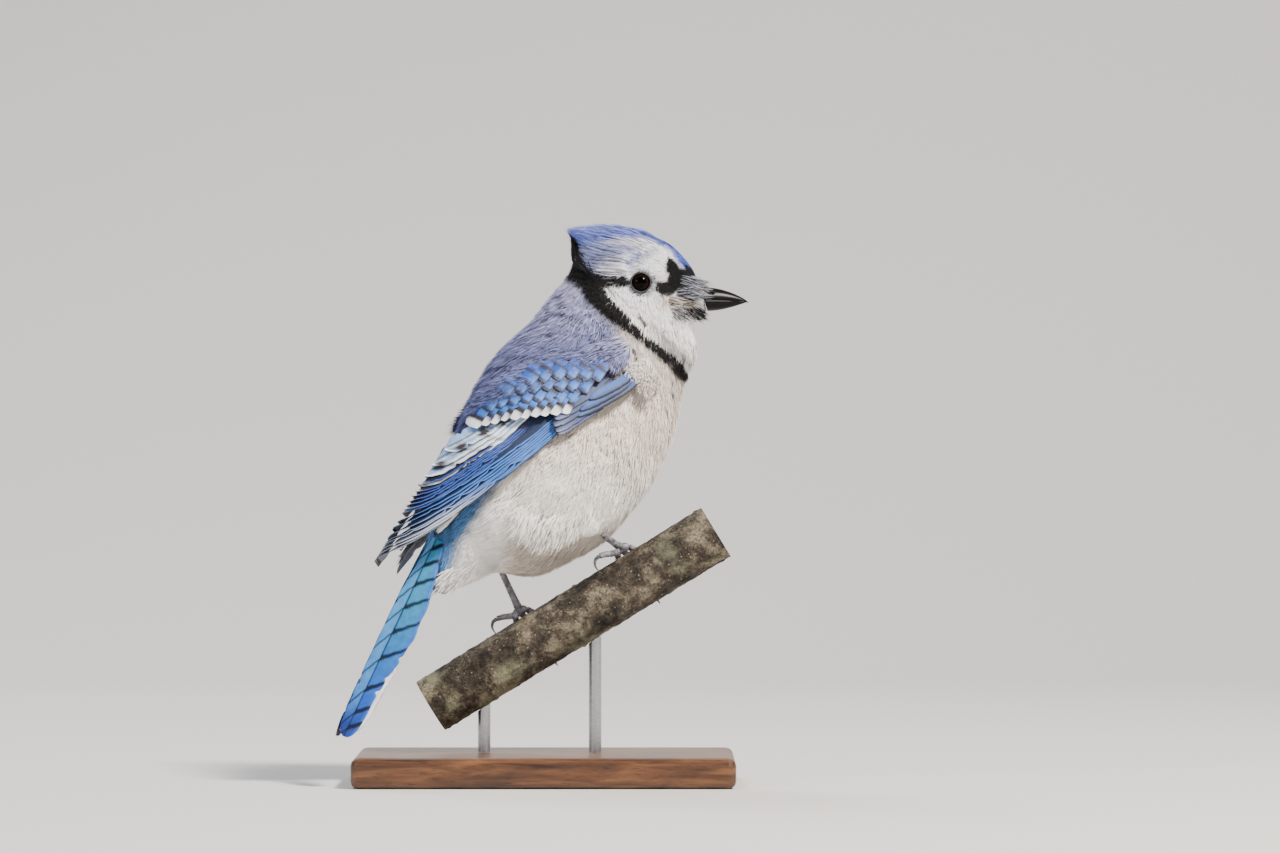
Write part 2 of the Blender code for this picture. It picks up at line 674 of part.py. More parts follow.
def wing_arm(bed, share, drop, side):
    """The flesh and short feathers of the folded wing, a flat pad that thins to its edges."""
    lower = smooth_rows(ARM_LOWER_EDGE, 2) * share - (0.0, drop)
    upper = smooth_rows(ARM_UPPER_EDGE, 2) * share - (0.0, drop)
    points = []
    for face in (0, 1):
        for row, (low, high) in enumerate(zip(lower, upper)):
            along = row / (len(lower) - 1)
            for col in range(ARM_CROSS_STEPS + 1):
                across = col / ARM_CROSS_STEPS
                crown = 1 - abs(2 * across - 1) ** 2.5
                full = WING_EDGE + (ARM_THICKNESS - WING_EDGE) * crown * (1 - 0.8 * along)
                x, z = wing_place(*(low * (1 - across) + high * across))
                points.append(on_flesh(bed, x, z, BED_LIFT + face * full, side)[0])
    return mesh_of(points, slab_faces(len(lower), ARM_CROSS_STEPS + 1), "arm")


def build_wing(name, side, share, drop):
    """A folded wing: the arm, with its flight feathers and coverts fused to it tier by tier."""
    bed = wing_bed()
    wing = add_object(name, wing_arm(bed, share, drop, side))
    vanes = []
    for tier in WING_TIERS:
        roots = np.array(tier.roots) * share - (0.0, drop)
        tips = np.array(tier.tips) * (0.5 + 0.5 * share, share) - (0.0, drop)
        for t in np.linspace(0, 1, tier.count):
            root = roots[0] * (1 - t) + roots[1] * t
            tip = tips[0] * (1 - t) * (1 - 2 * t) + tips[1] * 4 * t * (1 - t) + tips[2] * t * (2 * t - 1)
            base = tier.base[0] * (1 - t) + tier.base[1] * t
            vanes.append(wing_vane(bed, tier, root, tip, base, side))
    join_all(wing, vanes)
    paint(wing, "blue")


def join_all(thing, meshes):
    """Fuse closed meshes to an object in one union."""
    holder = bpy.data.collections.new("pieces")
    bpy.context.scene.collection.children.link(holder)
    for mesh in meshes:
        holder.objects.link(bpy.data.objects.new("piece", mesh))
    apply_boolean(thing, holder, "UNION", "MANIFOLD")
    bpy.data.collections.remove(holder)


def feather(root, direction, out, length, widths, thickness, rise, steps):
    """A free vane from its root along a direction, lying across the way it faces."""
    across = np.cross(direction, out)
    points = []
    for face in (0, 1):
        for step in range(steps):
            share = step / (steps - 1)
            centre = root + direction * length * share + out * (rise * share ** 2 + face * thickness)
            for col, width in zip((-1, 0, 1), (widths[0], 0.0, widths[1])):
                points.append(centre + col * across * width * vane_width(share))
    return mesh_of(points, slab_faces(steps, 3), "feather")


def tail_frame():
    """Ridge start, direction to the tip, direction to the bird's right and the way the back faces."""
    root = np.array([TAIL_RIDGE_X, body_y(TAIL_RIDGE_X), TAIL_RIDGE_Z])
    tip = np.array([TAIL_TIP_X, body_y(TAIL_TIP_X), TAIL_TIP_Z])
    along = (tip - root) / np.linalg.norm(tip - root)
    right = np.array([math.sin(BODY_TURN), -math.cos(BODY_TURN), 0.0])
    back = np.cross(along, right)
    back *= math.copysign(1.0, back[2])
    return root, along, right, back, float(np.linalg.norm(tip - root))


def onto_rump(place, along):
    """The place moved along the tail to just clear of the flat end of the torso."""
    row = station_row(TORSO[-1], BODY_TURN, body_y)
    line = np.array(row[3:6]) - np.array(row[:3])
    right = np.array([math.sin(BODY_TURN), -math.cos(BODY_TURN), 0.0])
    normal = np.cross(line, right)
    normal *= math.copysign(1.0, np.dot(normal, along)) / np.linalg.norm(normal)
    distance = np.dot(np.array(row[:3]) - place, normal) + 1.2 * GAP
    return place + along * distance / np.dot(along, normal)


def tail_root():
    """The short feathered root that the tail feathers grow from."""
    root, along, right, back, _ = tail_frame()
    rings = []
    for share in np.linspace(0, 1, TAIL_ROOT_RINGS):
        thick = TAIL_ROOT_THICKNESS * (1 - TAIL_ROOT_THINNING * share)
        wide = TAIL_ROOT_WIDTH * (1 + TAIL_ROOT_WIDENING * share)
        ring = []
        for layer in (0, 1):
            for col in range(2 * TAIL_ROOT_COLUMNS + 1):
                across = (col / TAIL_ROOT_COLUMNS - 1) * (1 if layer else -1)
                depth = (TAIL_ROOT_TOP + layer) * thick * (1 - TAIL_ROOT_CROWN * across ** 2)
                drop = abs(across) * wide * math.sin(TAIL_ROOF) + depth
                place = root + along * TAIL_ROOT_LENGTH * share
                place = place + right * across * wide * math.cos(TAIL_ROOF) - back * drop
                ring.append(onto_rump(place, along) if share == 0 else place)
        rings.append(ring)
    return close_rings(rings, "tail_root")


def build_tail():
    """Twelve feathers in two overlapping rows that fall away from the ridge."""
    root, along, right, back, length = tail_frame()
    vanes = []
    for pair in range(TAIL_PAIRS):
        for side in (1, -1):
            slope = math.cos(TAIL_ROOF) * right * side - math.sin(TAIL_ROOF) * back
            out = math.cos(TAIL_ROOF) * back + math.sin(TAIL_ROOF) * right * side
            shaft = RECTRIX_HALF_WIDTH + RECTRIX_SPACING * pair
            layer = root - out * RECTRIX_STACK * pair
            start = layer + along * RECTRIX_START + slope * (RECTRIX_START_OUT + RECTRIX_FAN * shaft)
            end = layer + along * (length - RECTRIX_SHORTENING * pair) + slope * shaft
            run = end - start
            inner = RECTRIX_HALF_WIDTH
            outer = RECTRIX_HALF_WIDTH * (RECTRIX_OUTER_SHARE - RECTRIX_NARROWING * pair)
            widths = (inner, outer) if side == -1 else (outer, inner)
            reach = np.linalg.norm(run)
            run /= reach
            vanes.append(feather(start, run, out, reach, widths, RECTRIX_THICKNESS, 0.0, RECTRIX_STEPS))
    tail = add_object("tail", tail_root())
    join_all(tail, vanes)
    paint(tail, "blue")


def branch_point(along, angle, radius):
    """A point by its distance along the branch, angle from its top and distance from its axis."""
    direction = np.array([math.cos(BRANCH_SLOPE), 0.0, math.sin(BRANCH_SLOPE)])
    top = np.array([-math.sin(BRANCH_SLOPE), 0.0, math.cos(BRANCH_SLOPE)])
    away = np.array([0.0, 1.0, 0.0])
    start = np.array([BRANCH_X, 0.0, BRANCH_Z])
    return start + direction * along + radius * (math.cos(angle) * top + math.sin(angle) * away)


def build_branch():
    rings = []
    for step in range(BRANCH_RINGS):
        along = BRANCH_START + (BRANCH_END - BRANCH_START) * step / (BRANCH_RINGS - 1)
        ring = []
        for side in range(BRANCH_SIDES):
            angle = 2 * math.pi * side / BRANCH_SIDES
            radius = BRANCH_RADIUS
            for place, turn, height in BRANCH_KNOTS:
                off = math.remainder(angle - turn, 2 * math.pi) / KNOT_SPREAD
                radius += height * MM * math.exp(-off ** 2 - ((along - place * MM) / KNOT_LENGTH) ** 2)
            ring.append(branch_point(along, angle, radius))
        rings.append(ring)
    branch = add_object("perch_branch", close_rings(rings, "perch_branch"))
    paint(branch, "bark")


def toe_path(foot, toe, steps=6):
    angles = np.radians(np.linspace(toe.start, toe.end, steps))
    spread = np.linspace(toe.spread_start, toe.spread_end, steps) * MM
    radii = np.linspace(toe.radius, TOE_END * toe.radius, steps) * MM
    reach = BRANCH_RADIUS + GAP + radii
    path = [branch_point(FOOT_ALONG[foot] + s, a, r) for s, a, r in zip(spread, angles, reach)]
    return np.array(path), radii


def foot_ball(foot):
    return Vector(branch_point(FOOT_ALONG[foot], 0.0, BRANCH_RADIUS + GAP + FOOT_BALL))


def thigh_mesh(foot, grow=0.0):
    """The feathered end of the leg, an egg round the ankle that sits in a pocket of the torso."""
    ankle = Vector(ANKLE[foot]) * MM
    facing = (foot_ball(foot) - ankle).to_track_quat("Z", "Y").to_matrix().to_4x4()
    radii = (THIGH_RADIUS + grow, THIGH_RADIUS + grow, 0.5 * THIGH_LENGTH + grow)
    return ball_mesh("thigh", ankle, radii, facing, 14, 8)


def shank_mesh(foot, grow=0.0):
    """The bare leg from the ankle to the ball of the foot, thickest at both ends."""
    ankle = Vector(ANKLE[foot]) * MM
    path = [ankle.lerp(foot_ball(foot), t) for t in np.linspace(0, 1, len(LEG_SWELLING))]
    return tube_mesh("leg", path, np.array(LEG_SWELLING) * LEG_RADIUS + grow)


def build_foot(foot):
    ball = foot_ball(foot)
    leg = add_object(f"leg_{foot}", shank_mesh(foot))
    slope = Matrix.Rotation(-BRANCH_SLOPE, 4, "Y")
    knuckle = ball_mesh("knuckle", ball, (KNUCKLE_LENGTH, FOOT_BALL, FOOT_BALL), slope, 10, 6)
    apply_boolean(leg, add_object("knuckle", knuckle), "UNION")
    apply_boolean(leg, cutter("thigh_cut", thigh_mesh(foot, GAP)), "DIFFERENCE")
    thigh = add_object(f"thigh_{foot}", thigh_mesh(foot))
    paint(leg, "leg")
    paint(thigh, "white")
    for label, toe in TOES.items():
        path, radii = toe_path(foot, toe)
        paint(add_object(f"toe_{foot}_{label}", tube_mesh("toe", path, radii)), "leg")
        build_claw(foot, label, toe)
    build_hind_toe(foot)


def build_hind_toe(foot):
    for label, rows, thick, thin, colour in (
        ("toe", HIND_TOE, HIND_RADIUS, TOE_END * HIND_RADIUS, "leg"),
        ("claw", HIND_CLAW, CLAW_RADIUS, CLAW_POINT * CLAW_RADIUS, "black"),
    ):
        rows = smooth_rows(rows, 2)
        path = [branch_point(FOOT_ALONG[foot] + s * MM, math.radians(a), r * MM) for s, a, r in rows]
        radii = np.linspace(thick, thin, len(rows))
        paint(add_object(f"{label}_{foot}_hind", tube_mesh(label, path, radii)), colour)


def build_claw(foot, label, toe, steps=7):
    """A hooked claw that goes on from the end of its toe, along the toe's own slant."""
    start = toe.end + math.degrees(1.2 * GAP / BRANCH_RADIUS)
    angles = np.linspace(start, start + toe.claw_turn, steps)
    slant = (toe.spread_end - toe.spread_start) / (toe.end - toe.start)
    spread = (toe.spread_end + slant * (angles - toe.end)) * MM
    share = np.linspace(0, 1, steps)
    radii = np.linspace(CLAW_RADIUS, CLAW_POINT * CLAW_RADIUS, steps)
    hump = CLAW_HUMP * np.sin(CLAW_HUMP_TURN * math.pi * share) ** 2
    reach = BRANCH_RADIUS + GAP + CLAW_INSET * toe.radius * MM + hump
    path = [branch_point(FOOT_ALONG[foot] + s, math.radians(a), r) for s, a, r in zip(spread, angles, reach)]
    paint(add_object(f"claw_{foot}_{label}", tube_mesh("claw", path, radii)), "black")


def build_stand():
    bpy.ops.mesh.primitive_cube_add(size=1.0)
    base = take_primitive("stand_base")
    base.data.transform(Matrix.Diagonal((BASE_LENGTH, BASE_WIDTH, BASE_HEIGHT, 1.0)))
    base.data.transform(Matrix.Translation((0, 0, 0.5 * BASE_HEIGHT)))
    rounding = base.modifiers.new("rounding", "BEVEL")
    rounding.width = BASE_BEVEL
    rounding.segments = 3
    paint(base, "walnut")
    for name, x in ROD_X.items():
        foot = BASE_HEIGHT + GAP
        axis_z = BRANCH_Z + (x - BRANCH_X) * math.tan(BRANCH_SLOPE)
        bpy.ops.mesh.primitive_cylinder_add(vertices=24, radius=ROD_RADIUS, depth=axis_z - foot)
        rod = take_primitive(f"stand_rod_{name}")
        rod.data.transform(Matrix.Translation((x, 0, 0.5 * (axis_z + foot))))
        grown = []
        for along in (BRANCH_START - 10 * MM, BRANCH_END + 10 * MM):
            grown.append([branch_point(along, 2 * math.pi * side / BRANCH_SIDES, BRANCH_RADIUS + GAP)
                          for side in range(BRANCH_SIDES)])
        apply_boolean(rod, cutter("branch_cut", close_rings(grown, "cut")), "DIFFERENCE")
        paint(rod, "steel")


def build_bird():
    build_neck()
    build_torso()
    build_vent()
    build_head()
    build_bill()
    build_wing("wing_right", 1, 1.0, 0.0)
    build_wing("wing_left", -1, FAR_WING_SHARE, FAR_WING_DROP)
    build_tail()
    for foot in FOOT_ALONG:
        build_foot(foot)


clear_scene()
build_bird()
build_branch()
build_stand()
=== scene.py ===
"""Blue jay on its perch and stand: the finish of every surface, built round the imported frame.

+X is the way the bill points, +Z is up, and the bird's right side faces -Y. Values are in metres
unless a name or comment says millimetres.
"""

import math
from collections import namedtuple

import bpy
import numpy as np
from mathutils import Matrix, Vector, noise


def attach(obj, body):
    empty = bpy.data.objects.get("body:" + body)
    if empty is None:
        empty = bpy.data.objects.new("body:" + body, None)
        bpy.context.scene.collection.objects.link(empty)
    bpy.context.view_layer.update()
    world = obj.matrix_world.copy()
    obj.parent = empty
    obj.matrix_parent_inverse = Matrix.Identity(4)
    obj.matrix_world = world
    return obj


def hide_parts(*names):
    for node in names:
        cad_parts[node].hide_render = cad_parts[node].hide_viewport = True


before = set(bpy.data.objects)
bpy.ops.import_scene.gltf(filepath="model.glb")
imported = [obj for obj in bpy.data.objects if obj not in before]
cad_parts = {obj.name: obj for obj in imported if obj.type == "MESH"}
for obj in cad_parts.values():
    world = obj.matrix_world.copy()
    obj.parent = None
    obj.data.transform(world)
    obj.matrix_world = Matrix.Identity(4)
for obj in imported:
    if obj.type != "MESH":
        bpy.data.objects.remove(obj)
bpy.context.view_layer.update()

MM = 0.001
BODY_TURN = math.radians(20)
HEAD_TURN = math.radians(3)
BODY_Y = -3.8 * MM
KEEL = 0.25  # share by which the flesh is narrower towards its front than towards its back

# Flesh, from the face to the vent: back x and z, front x and z, half width, all in mm
STATIONS = np.array([
    (59.7, 200.4, 64.0, 186.6, 5.6),
    (56.5, 205.9, 63.6, 185.8, 7.6),
    (49.4, 213.1, 62.5, 185.0, 10.6),
    (40.7, 217.0, 60.9, 184.2, 13.0),
    (31.6, 217.8, 59.3, 182.2, 15.0),
    (22.5, 216.2, 58.9, 178.3, 17.0),
    (16.0, 212.3, 60.5, 172.4, 18.0),
    (11.8, 207.0, 59.7, 165.6, 19.0),
    (10.3, 202.0, 56.5, 160.1, 20.0),
    (2.0, 192.1, 53.4, 150.2, 24.0),
    (-5.9, 181.8, 51.0, 137.6, 28.0),
    (-17.8, 170.4, 45.5, 125.3, 31.5),
    (-26.5, 156.9, 39.9, 114.6, 33.0),
    (-32.0, 144.3, 32.8, 105.9, 32.5),
    (-35.2, 134.8, 21.7, 94.1, 30.0),
    (-37.6, 123.7, 8.3, 86.6, 25.5),
    (-40.0, 112.9, -5.1, 81.4, 19.5),
    (-42.5, 103.8, -17.0, 83.4, 13.0),
    (-45.0, 97.0, -22.5, 82.8, 10.5),
    (-46.5, 90.0, -28.5, 80.8, 8.0),
    (-46.5, 83.0, -34.0, 77.8, 5.2),
    (-45.0, 78.0, -39.5, 75.0, 2.6),
])
NECK_AT = 8  # the station where the head meets the body
LAST = len(STATIONS) - 1
PER_SPAN = 12

# Depth of the coat over the skin, by station, in mm
COAT_AT = [0, 2, 5, 8, 11, 15, 18, 21]
COAT_DEPTH = [0.5, 0.8, 1.3, 2.2, 3.0, 3.2, 2.6, 1.6]


def linear(code):
    """An sRGB hex colour as linear red, green and blue."""
    parts = [int(code[i:i + 2], 16) / 255 for i in (1, 3, 5)]
    return np.array([c / 12.92 if c <= 0.04045 else ((c + 0.055) / 1.055) ** 2.4 for c in parts])


def smooth_rows(rows, per_span):
    """Rows of numbers with per_span steps between each pair, on a Catmull-Rom curve."""
    rows = np.asarray(rows, dtype=float)
    padded = np.vstack([2 * rows[0] - rows[1], rows, 2 * rows[-1] - rows[-2]])
    out = []
    for before, start, end, after in zip(padded, padded[1:], padded[2:], padded[3:]):
        for t in np.arange(per_span) / per_span:
            out.append(0.5 * (
                2 * start + (end - before) * t
                + (2 * before - 5 * start + 4 * end - after) * t ** 2
                + (3 * start - before - 3 * end + after) * t ** 3
            ))
    out.append(rows[-1])
    return np.array(out)


def body_y(x):
    """Where the body's middle plane lies at a place along X."""
    return BODY_Y + x * math.tan(BODY_TURN)


def head_y(x):
    neck_x = 0.5 * (STATIONS[NECK_AT, 0] + STATIONS[NECK_AT, 2]) * MM
    return body_y(neck_x) + (x - neck_x) * math.tan(HEAD_TURN)


def flesh_rows(stations, turns, y_of, per_span):
    """Smooth rows of back point, front point, half width and turn, from stations on the side view."""
    rows = []
    for (back_x, back_z, front_x, front_z, half_width), turn, y in zip(stations * MM, turns, y_of):
        rows.append([back_x, y(back_x), back_z, front_x, y(front_x), front_z, half_width, turn])
    return smooth_rows(rows, per_span)


def bird_rows():
    count = len(STATIONS)
    turns = [HEAD_TURN] * (NECK_AT - 1) + [math.radians(6), math.radians(11.5), math.radians(17)]
    turns += [BODY_TURN] * (count - len(turns))
    y_of = [head_y] * NECK_AT + [body_y] * (count - NECK_AT)
    return flesh_rows(STATIONS, turns, y_of, PER_SPAN)


BIRD = bird_rows()


def flesh(s, angle, grow=0.0):
    """Points of the bird by station, angle from its back (positive to its right) and growth."""
    at = np.clip(s, 0, LAST) * PER_SPAN
    low = np.minimum(at.astype(int), len(BIRD) - 2)
    row = BIRD[low] + (BIRD[low + 1] - BIRD[low]) * (at - low)[..., None]
    centre = 0.5 * (row[..., :3] + row[..., 3:6])
    up = 0.5 * (row[..., :3] - row[..., 3:6])
    depth = np.linalg.norm(up, axis=-1)
    up = up / depth[..., None]
    right = np.stack([np.sin(row[..., 7]), -np.cos(row[..., 7]), np.zeros_like(depth)], -1)
    width = row[..., 6] * (1 - KEEL * (0.5 - 0.5 * np.cos(angle)) ** 2)
    rise = (np.cos(angle) * (depth + grow))[..., None] * up
    return centre + rise + (np.sin(angle) * (width + grow))[..., None] * right


def side_view(s, angle):
    """Where points of the bird lie on the side view, in mm, with its left side folded onto its right."""
    place = flesh(s, np.abs((angle + np.pi) % (2 * np.pi) - np.pi)) / MM
    return place[..., 0], place[..., 2]


def skin_depth(s):
    return np.interp(s, COAT_AT, COAT_DEPTH) * MM


# Full masses of feathers on the side view: centre, half length and half width in mm, lean, height in mm
MASSES = (
    ((-23.7, 96.1), 20.0, 9.5, math.radians(63), 3.2),
    ((4.0, 121.0), 34.0, 19.0, math.radians(38), 1.6),
)


def fullness(s, angle):
    """How far the feathers of flank and thigh stand over the plain outline."""
    x, z = side_view(s, angle)
    raised = 0.0
    for (mass_x, mass_z), long, short, lean, height in MASSES:
        dx, dz = x - mass_x, z - mass_z
        along = (dx * math.cos(lean) + dz * math.sin(lean)) / long
        across = (dz * math.cos(lean) - dx * math.sin(lean)) / short
        raised = raised + height * MM * np.clip(1 - along ** 2 - across ** 2, 0, 1) ** 0.7
    return raised


def body_surface(s, angle, lift=0.0):
    """The skin, which lies inside the bird's outline by the depth of its coat, lifted by some height."""
    return flesh(s, angle, lift - skin_depth(s) + fullness(s, angle))


def frames(surface, u, v, lift):
    """Point, outward direction and lengths per unit of both parameters."""
    step = 1e-3
    place = surface(u, v, lift)
    out = surface(u, v, lift + 1e-4) - place
    out /= np.linalg.norm(out, axis=-1)[..., None]
    along = np.linalg.norm(surface(u + step, v, lift) - place, axis=-1) / step
    across = np.linalg.norm(surface(u, v + step, lift) - place, axis=-1) / step
    return place, out, along, across


# Meshes from arrays


def mesh_object(name, verts, tris, colours=None, uvs=None, smooth=True):
    mesh = bpy.data.meshes.new(name)
    mesh.vertices.add(len(verts))
    mesh.vertices.foreach_set("co", np.asarray(verts, np.float32).ravel())
    mesh.loops.add(3 * len(tris))
    mesh.loops.foreach_set("vertex_index", np.asarray(tris, np.int32).ravel())
    mesh.polygons.add(len(tris))
    mesh.polygons.foreach_set("loop_start", np.arange(0, 3 * len(tris), 3, dtype=np.int32))
    mesh.polygons.foreach_set("use_smooth", np.full(len(tris), smooth))
    for layer, uv in (uvs or {}).items():
        made = mesh.uv_layers.new(name=layer)
        made.data.foreach_set("uv", np.asarray(uv, np.float32)[np.asarray(tris).ravel()].ravel())
    if colours is not None:
        mark = mesh.color_attributes.new("Mark", "FLOAT_COLOR", "POINT")
        rgba = np.ones((len(verts), 4), np.float32)
        rgba[:, :3] = colours
        mark.data.foreach_set("color", rgba.ravel())
    mesh.update(calc_edges=True)
    made = bpy.data.objects.new(name, mesh)
    bpy.context.scene.collection.objects.link(made)
    return made


def dress(thing, material, slot, *nodes):
    """Give a piece its finish and its body, and hide the CAD nodes that it stands for. The slot is not used.
    """
    thing.data.materials.append(material)
    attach(thing, "root")
    if nodes:
        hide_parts(*nodes)


def ring_tris(rings, sides, caps=True):
    """Triangles of a tube of rings, with a fan over each end."""
    tris = []
    for row in range(rings - 1):
        for col in range(sides):
            a = row * sides + col
            b = row * sides + (col + 1) % sides
            tris += [(a, b, b + sides), (a, b + sides, a + sides)]
    if caps:
        last = (rings - 1) * sides
        for col in range(1, sides - 1):
            tris.append((0, col + 1, col))
            tris.append((last, last + col, last + col + 1))
    return np.array(tris)


def tube(path, radii, sides, flat=1.0):
    """Points and triangles of a round or flattened tube along a path."""
    path = np.asarray(path, dtype=float)
    tangents = np.gradient(path, axis=0)
    tangents /= np.linalg.norm(tangents, axis=1)[:, None]
    normal = np.cross(tangents[0], (0.31, 0.84, 0.44))
    turn = 2 * np.pi * np.arange(sides) / sides
    verts = []
    for centre, tangent, radius in zip(path, tangents, radii):
        normal = normal - tangent * np.dot(normal, tangent)
        normal /= np.linalg.norm(normal)
        other = np.cross(tangent, normal)
        around = np.cos(turn)[:, None] * normal + flat * np.sin(turn)[:, None] * other
        verts.append(centre + radius * around)
    return np.concatenate(verts), ring_tris(len(path), sides)


def joined(pieces):
    """Several lists of points and triangles as one."""
    verts, tris, offset = [], [], 0
    for points, faces in pieces:
        verts.append(points)
        tris.append(faces + offset)
        offset += len(points)
    return np.concatenate(verts), np.concatenate(tris)


# Barbs: three-sided blades from a root over a bend to a point

BARB_TRIS = np.array([
    (0, 5, 3), (0, 2, 5), (2, 4, 5), (2, 1, 4), (1, 3, 4),
    (1, 0, 3), (3, 5, 6), (5, 4, 6), (4, 3, 6), (0, 1, 2),
])
BARB_PATCH = 0.003 * np.array([(0, 0), (1, 0), (0.5, 0.2), (0, 0.6), (1, 0.6), (0.5, 0.8), (0.5, 1)])
BARB_RING = np.array([0, 0, 0, 1, 1, 1, 2])
# Painted shade and highlight along each barb: darker at its root, where it lies under the others, and lighter
# at its tip
BARB_PAINTED_SHADE = np.array([0.6, 0.6, 0.65, 0.94, 0.94, 1.0, 1.1])


def barb_mesh(path, out, width, colour, patch):
    """Points, triangles, colours and bake places of blades with paths of three points."""
    count = len(path)
    lean = path[:, [1, 2, 2]] - path[:, [0, 0, 1]]
    lean /= np.linalg.norm(lean, axis=-1)[..., None] + 1e-12
    side = np.cross(lean, out)
    side /= np.linalg.norm(side, axis=-1)[..., None] + 1e-12
    verts = np.empty((count, 7, 3))
    half = 0.5 * width[:, None]
    for ring, scale in ((0, 0.8), (1, 1.0)):
        verts[:, 3 * ring] = path[:, ring] - side[:, ring] * half * scale
        verts[:, 3 * ring + 1] = path[:, ring] + side[:, ring] * half * scale
        verts[:, 3 * ring + 2] = path[:, ring] + out[:, ring] * half * 0.5
    verts[:, 6] = path[:, 2]
    tris = BARB_TRIS[None] + 7 * np.arange(count)[:, None, None]
    colours = np.clip(colour[:, BARB_RING] * BARB_PAINTED_SHADE[None, :, None], 0, 1)
    uv = 0.01 + 0.97 * patch[:, None, :] + BARB_PATCH[None]
    return verts.reshape(-1, 3), tris.reshape(-1, 3), colours.reshape(-1, 3), uv.reshape(-1, 2)


def feather_barbs(rng, surface, u, v, length, width, depth, barbs, barb_width, sideways, colour_of, patch_of):
    """Soft feathers as fans of barbs, laid along the surface from their roots."""
    count = len(u)
    _, _, per_u, per_v = frames(surface, u, v, 0.0)
    spread = np.linspace(-1, 1, barbs)[None, :] + rng.uniform(-0.12, 0.12, (count, barbs))
    reach = np.abs(spread)
    length = length[:, None] * rng.uniform(0.9, 1.1, (count, barbs))
    start = length * (0.02 + 0.4 * rng.random((count, barbs)) * np.clip(1 - reach, 0, 1))
    end = length * (1 - 0.32 * reach ** 2)
    tip_b = 0.5 * width[:, None] * spread
    along = np.stack([start, start + 0.55 * (end - start), end], -1)
    across = np.stack([0.08 * tip_b, 0.72 * tip_b, tip_b], -1)
    across = across + along * sideways[:, None, None]
    rise = depth[:, None] * rng.uniform(0.85, 1.15, (count, barbs))
    lift = np.stack([0.0 * rise, 0.62 * rise, rise], -1)
    uu = u[:, None, None] + along / per_u[:, None, None]
    vv = v[:, None, None] + across / np.maximum(per_v, 1e-3)[:, None, None]
    path, out, _, _ = frames(surface, uu, vv, lift)
    path = path.reshape(-1, 3, 3)
    out = out.reshape(-1, 3, 3)
    streak = rng.random((count, barbs))
    tone = rng.normal(1.0, 0.07, (count, 1)) * rng.normal(1.0, 0.08, (count, barbs))
    tone = tone * np.where(streak < 0.12, 1.25, np.where(streak > 0.84, 0.76, 1.0))
    stray = rng.normal(0.0, 0.09, (count, barbs)) * width[:, None] / np.maximum(per_v, 1e-3)[:, None]
    colour = colour_of(uu, vv + stray[..., None])
    strength = np.clip(2.7 - 2.9 * colour.mean(-1, keepdims=True), 0.4, 2.2)
    colour = colour * (1 + (tone[..., None, None] - 1) * strength)
    colour = np.clip(colour, 0, 1).reshape(-1, 3, 3)
    patch = patch_of(uu[..., 0].ravel(), vv[..., 0].ravel())
    wide = barb_width[:, None] * rng.uniform(0.8, 1.2, (count, barbs))
    return path, out, wide.ravel(), colour, patch


def coat_object(name, parts, keep=None):
    """One coat piece from several sets of barbs."""
    path, out, wide, colour, patch = (np.concatenate(group) for group in zip(*parts))
    if keep is not None:
        kept = keep(path)
        path, out, wide, colour, patch = path[kept], out[kept], wide[kept], colour[kept], patch[kept]
    verts, tris, colours, uv = barb_mesh(path, out, wide, colour, patch)
    return mesh_object(name, verts, tris, colours, {"OFBake": uv}, smooth=False)


# Markings, drawn on the side view in mm


def inside(outline, x, z):
    """Distance in mm to a closed outline, positive inside."""
    points = np.array(outline, dtype=float)
    best = np.full(x.shape, 1e9)
    within = np.zeros(x.shape, dtype=bool)
    for (x0, z0), (x1, z1) in zip(points, np.roll(points, -1, axis=0)):
        run_x, run_z = x1 - x0, z1 - z0
        t = np.clip(((x - x0) * run_x + (z - z0) * run_z) / (run_x ** 2 + run_z ** 2 + 1e-9), 0, 1)
        best = np.minimum(best, np.hypot(x - x0 - t * run_x, z - z0 - t * run_z))
        crossed = ((z0 <= z) != (z1 <= z)) & (x < x0 + (z - z0) / (z1 - z0 + 1e-12) * run_x)
        within ^= crossed
    return np.where(within, best, -best)


def cover(outline, x, z, soft):
    """How much of a mark lies at places on the side view, 0 to 1, with an edge soft by some mm."""
    return np.clip(0.5 + 0.5 * inside(outline, x, z) / soft, 0, 1)[..., None]


def fade(value, start, end):
    """0 up to the start, 1 from the end on, even between them."""
    return np.clip((value - start) / (end - start), 0, 1)[..., None]


CREST_MARK = [
    (2.0, 228.5), (66.0, 228.5), (66.0, 196.9), (60.5, 198.4), (56.9, 200.8), (54.2, 203.6),
    (51.8, 206.7), (49.8, 210.3), (47.0, 212.3), (42.3, 213.5), (36.8, 213.1), (31.6, 211.1),
    (25.3, 209.1), (21.3, 207.9), (17.0, 209.1), (13.8, 212.3), (10.7, 213.5), (2.0, 214.6),
]
LORE_MARK = [
    (49.0, 207.9), (51.4, 206.3), (53.8, 203.2), (56.5, 201.6), (55.3, 198.4), (53.0, 194.9),
    (49.4, 192.5), (45.5, 193.7), (41.5, 196.1), (41.5, 199.6), (44.7, 198.0), (47.8, 198.0),
    (49.0, 200.4), (47.4, 203.6),
]
BROW_MARK = [
    (55.3, 205.2), (58.1, 203.6), (60.1, 200.0), (57.7, 199.6), (55.7, 202.0),
]
STRIPE_MARK = [
    (20.2, 200.0), (34.4, 199.2), (34.4, 197.3), (21.0, 195.7),
]
NAPE_MARK = [
    (11.9, 213.5), (19.0, 209.8), (21.0, 203.2), (23.0, 199.6), (22.6, 195.3), (25.0, 191.2),
    (28.0, 187.8), (32.4, 184.6), (34.4, 180.7), (40.3, 175.5), (45.9, 172.4), (51.4, 167.6),
    (55.7, 162.9), (57.3, 157.7), (53.0, 159.3), (48.2, 165.6), (43.5, 169.6), (38.3, 173.5),
    (33.2, 177.1), (26.1, 181.0), (21.3, 185.0), (16.2, 190.1), (13.4, 195.7), (5.9, 200.0),
    (4.0, 206.0), (5.9, 212.3),
]
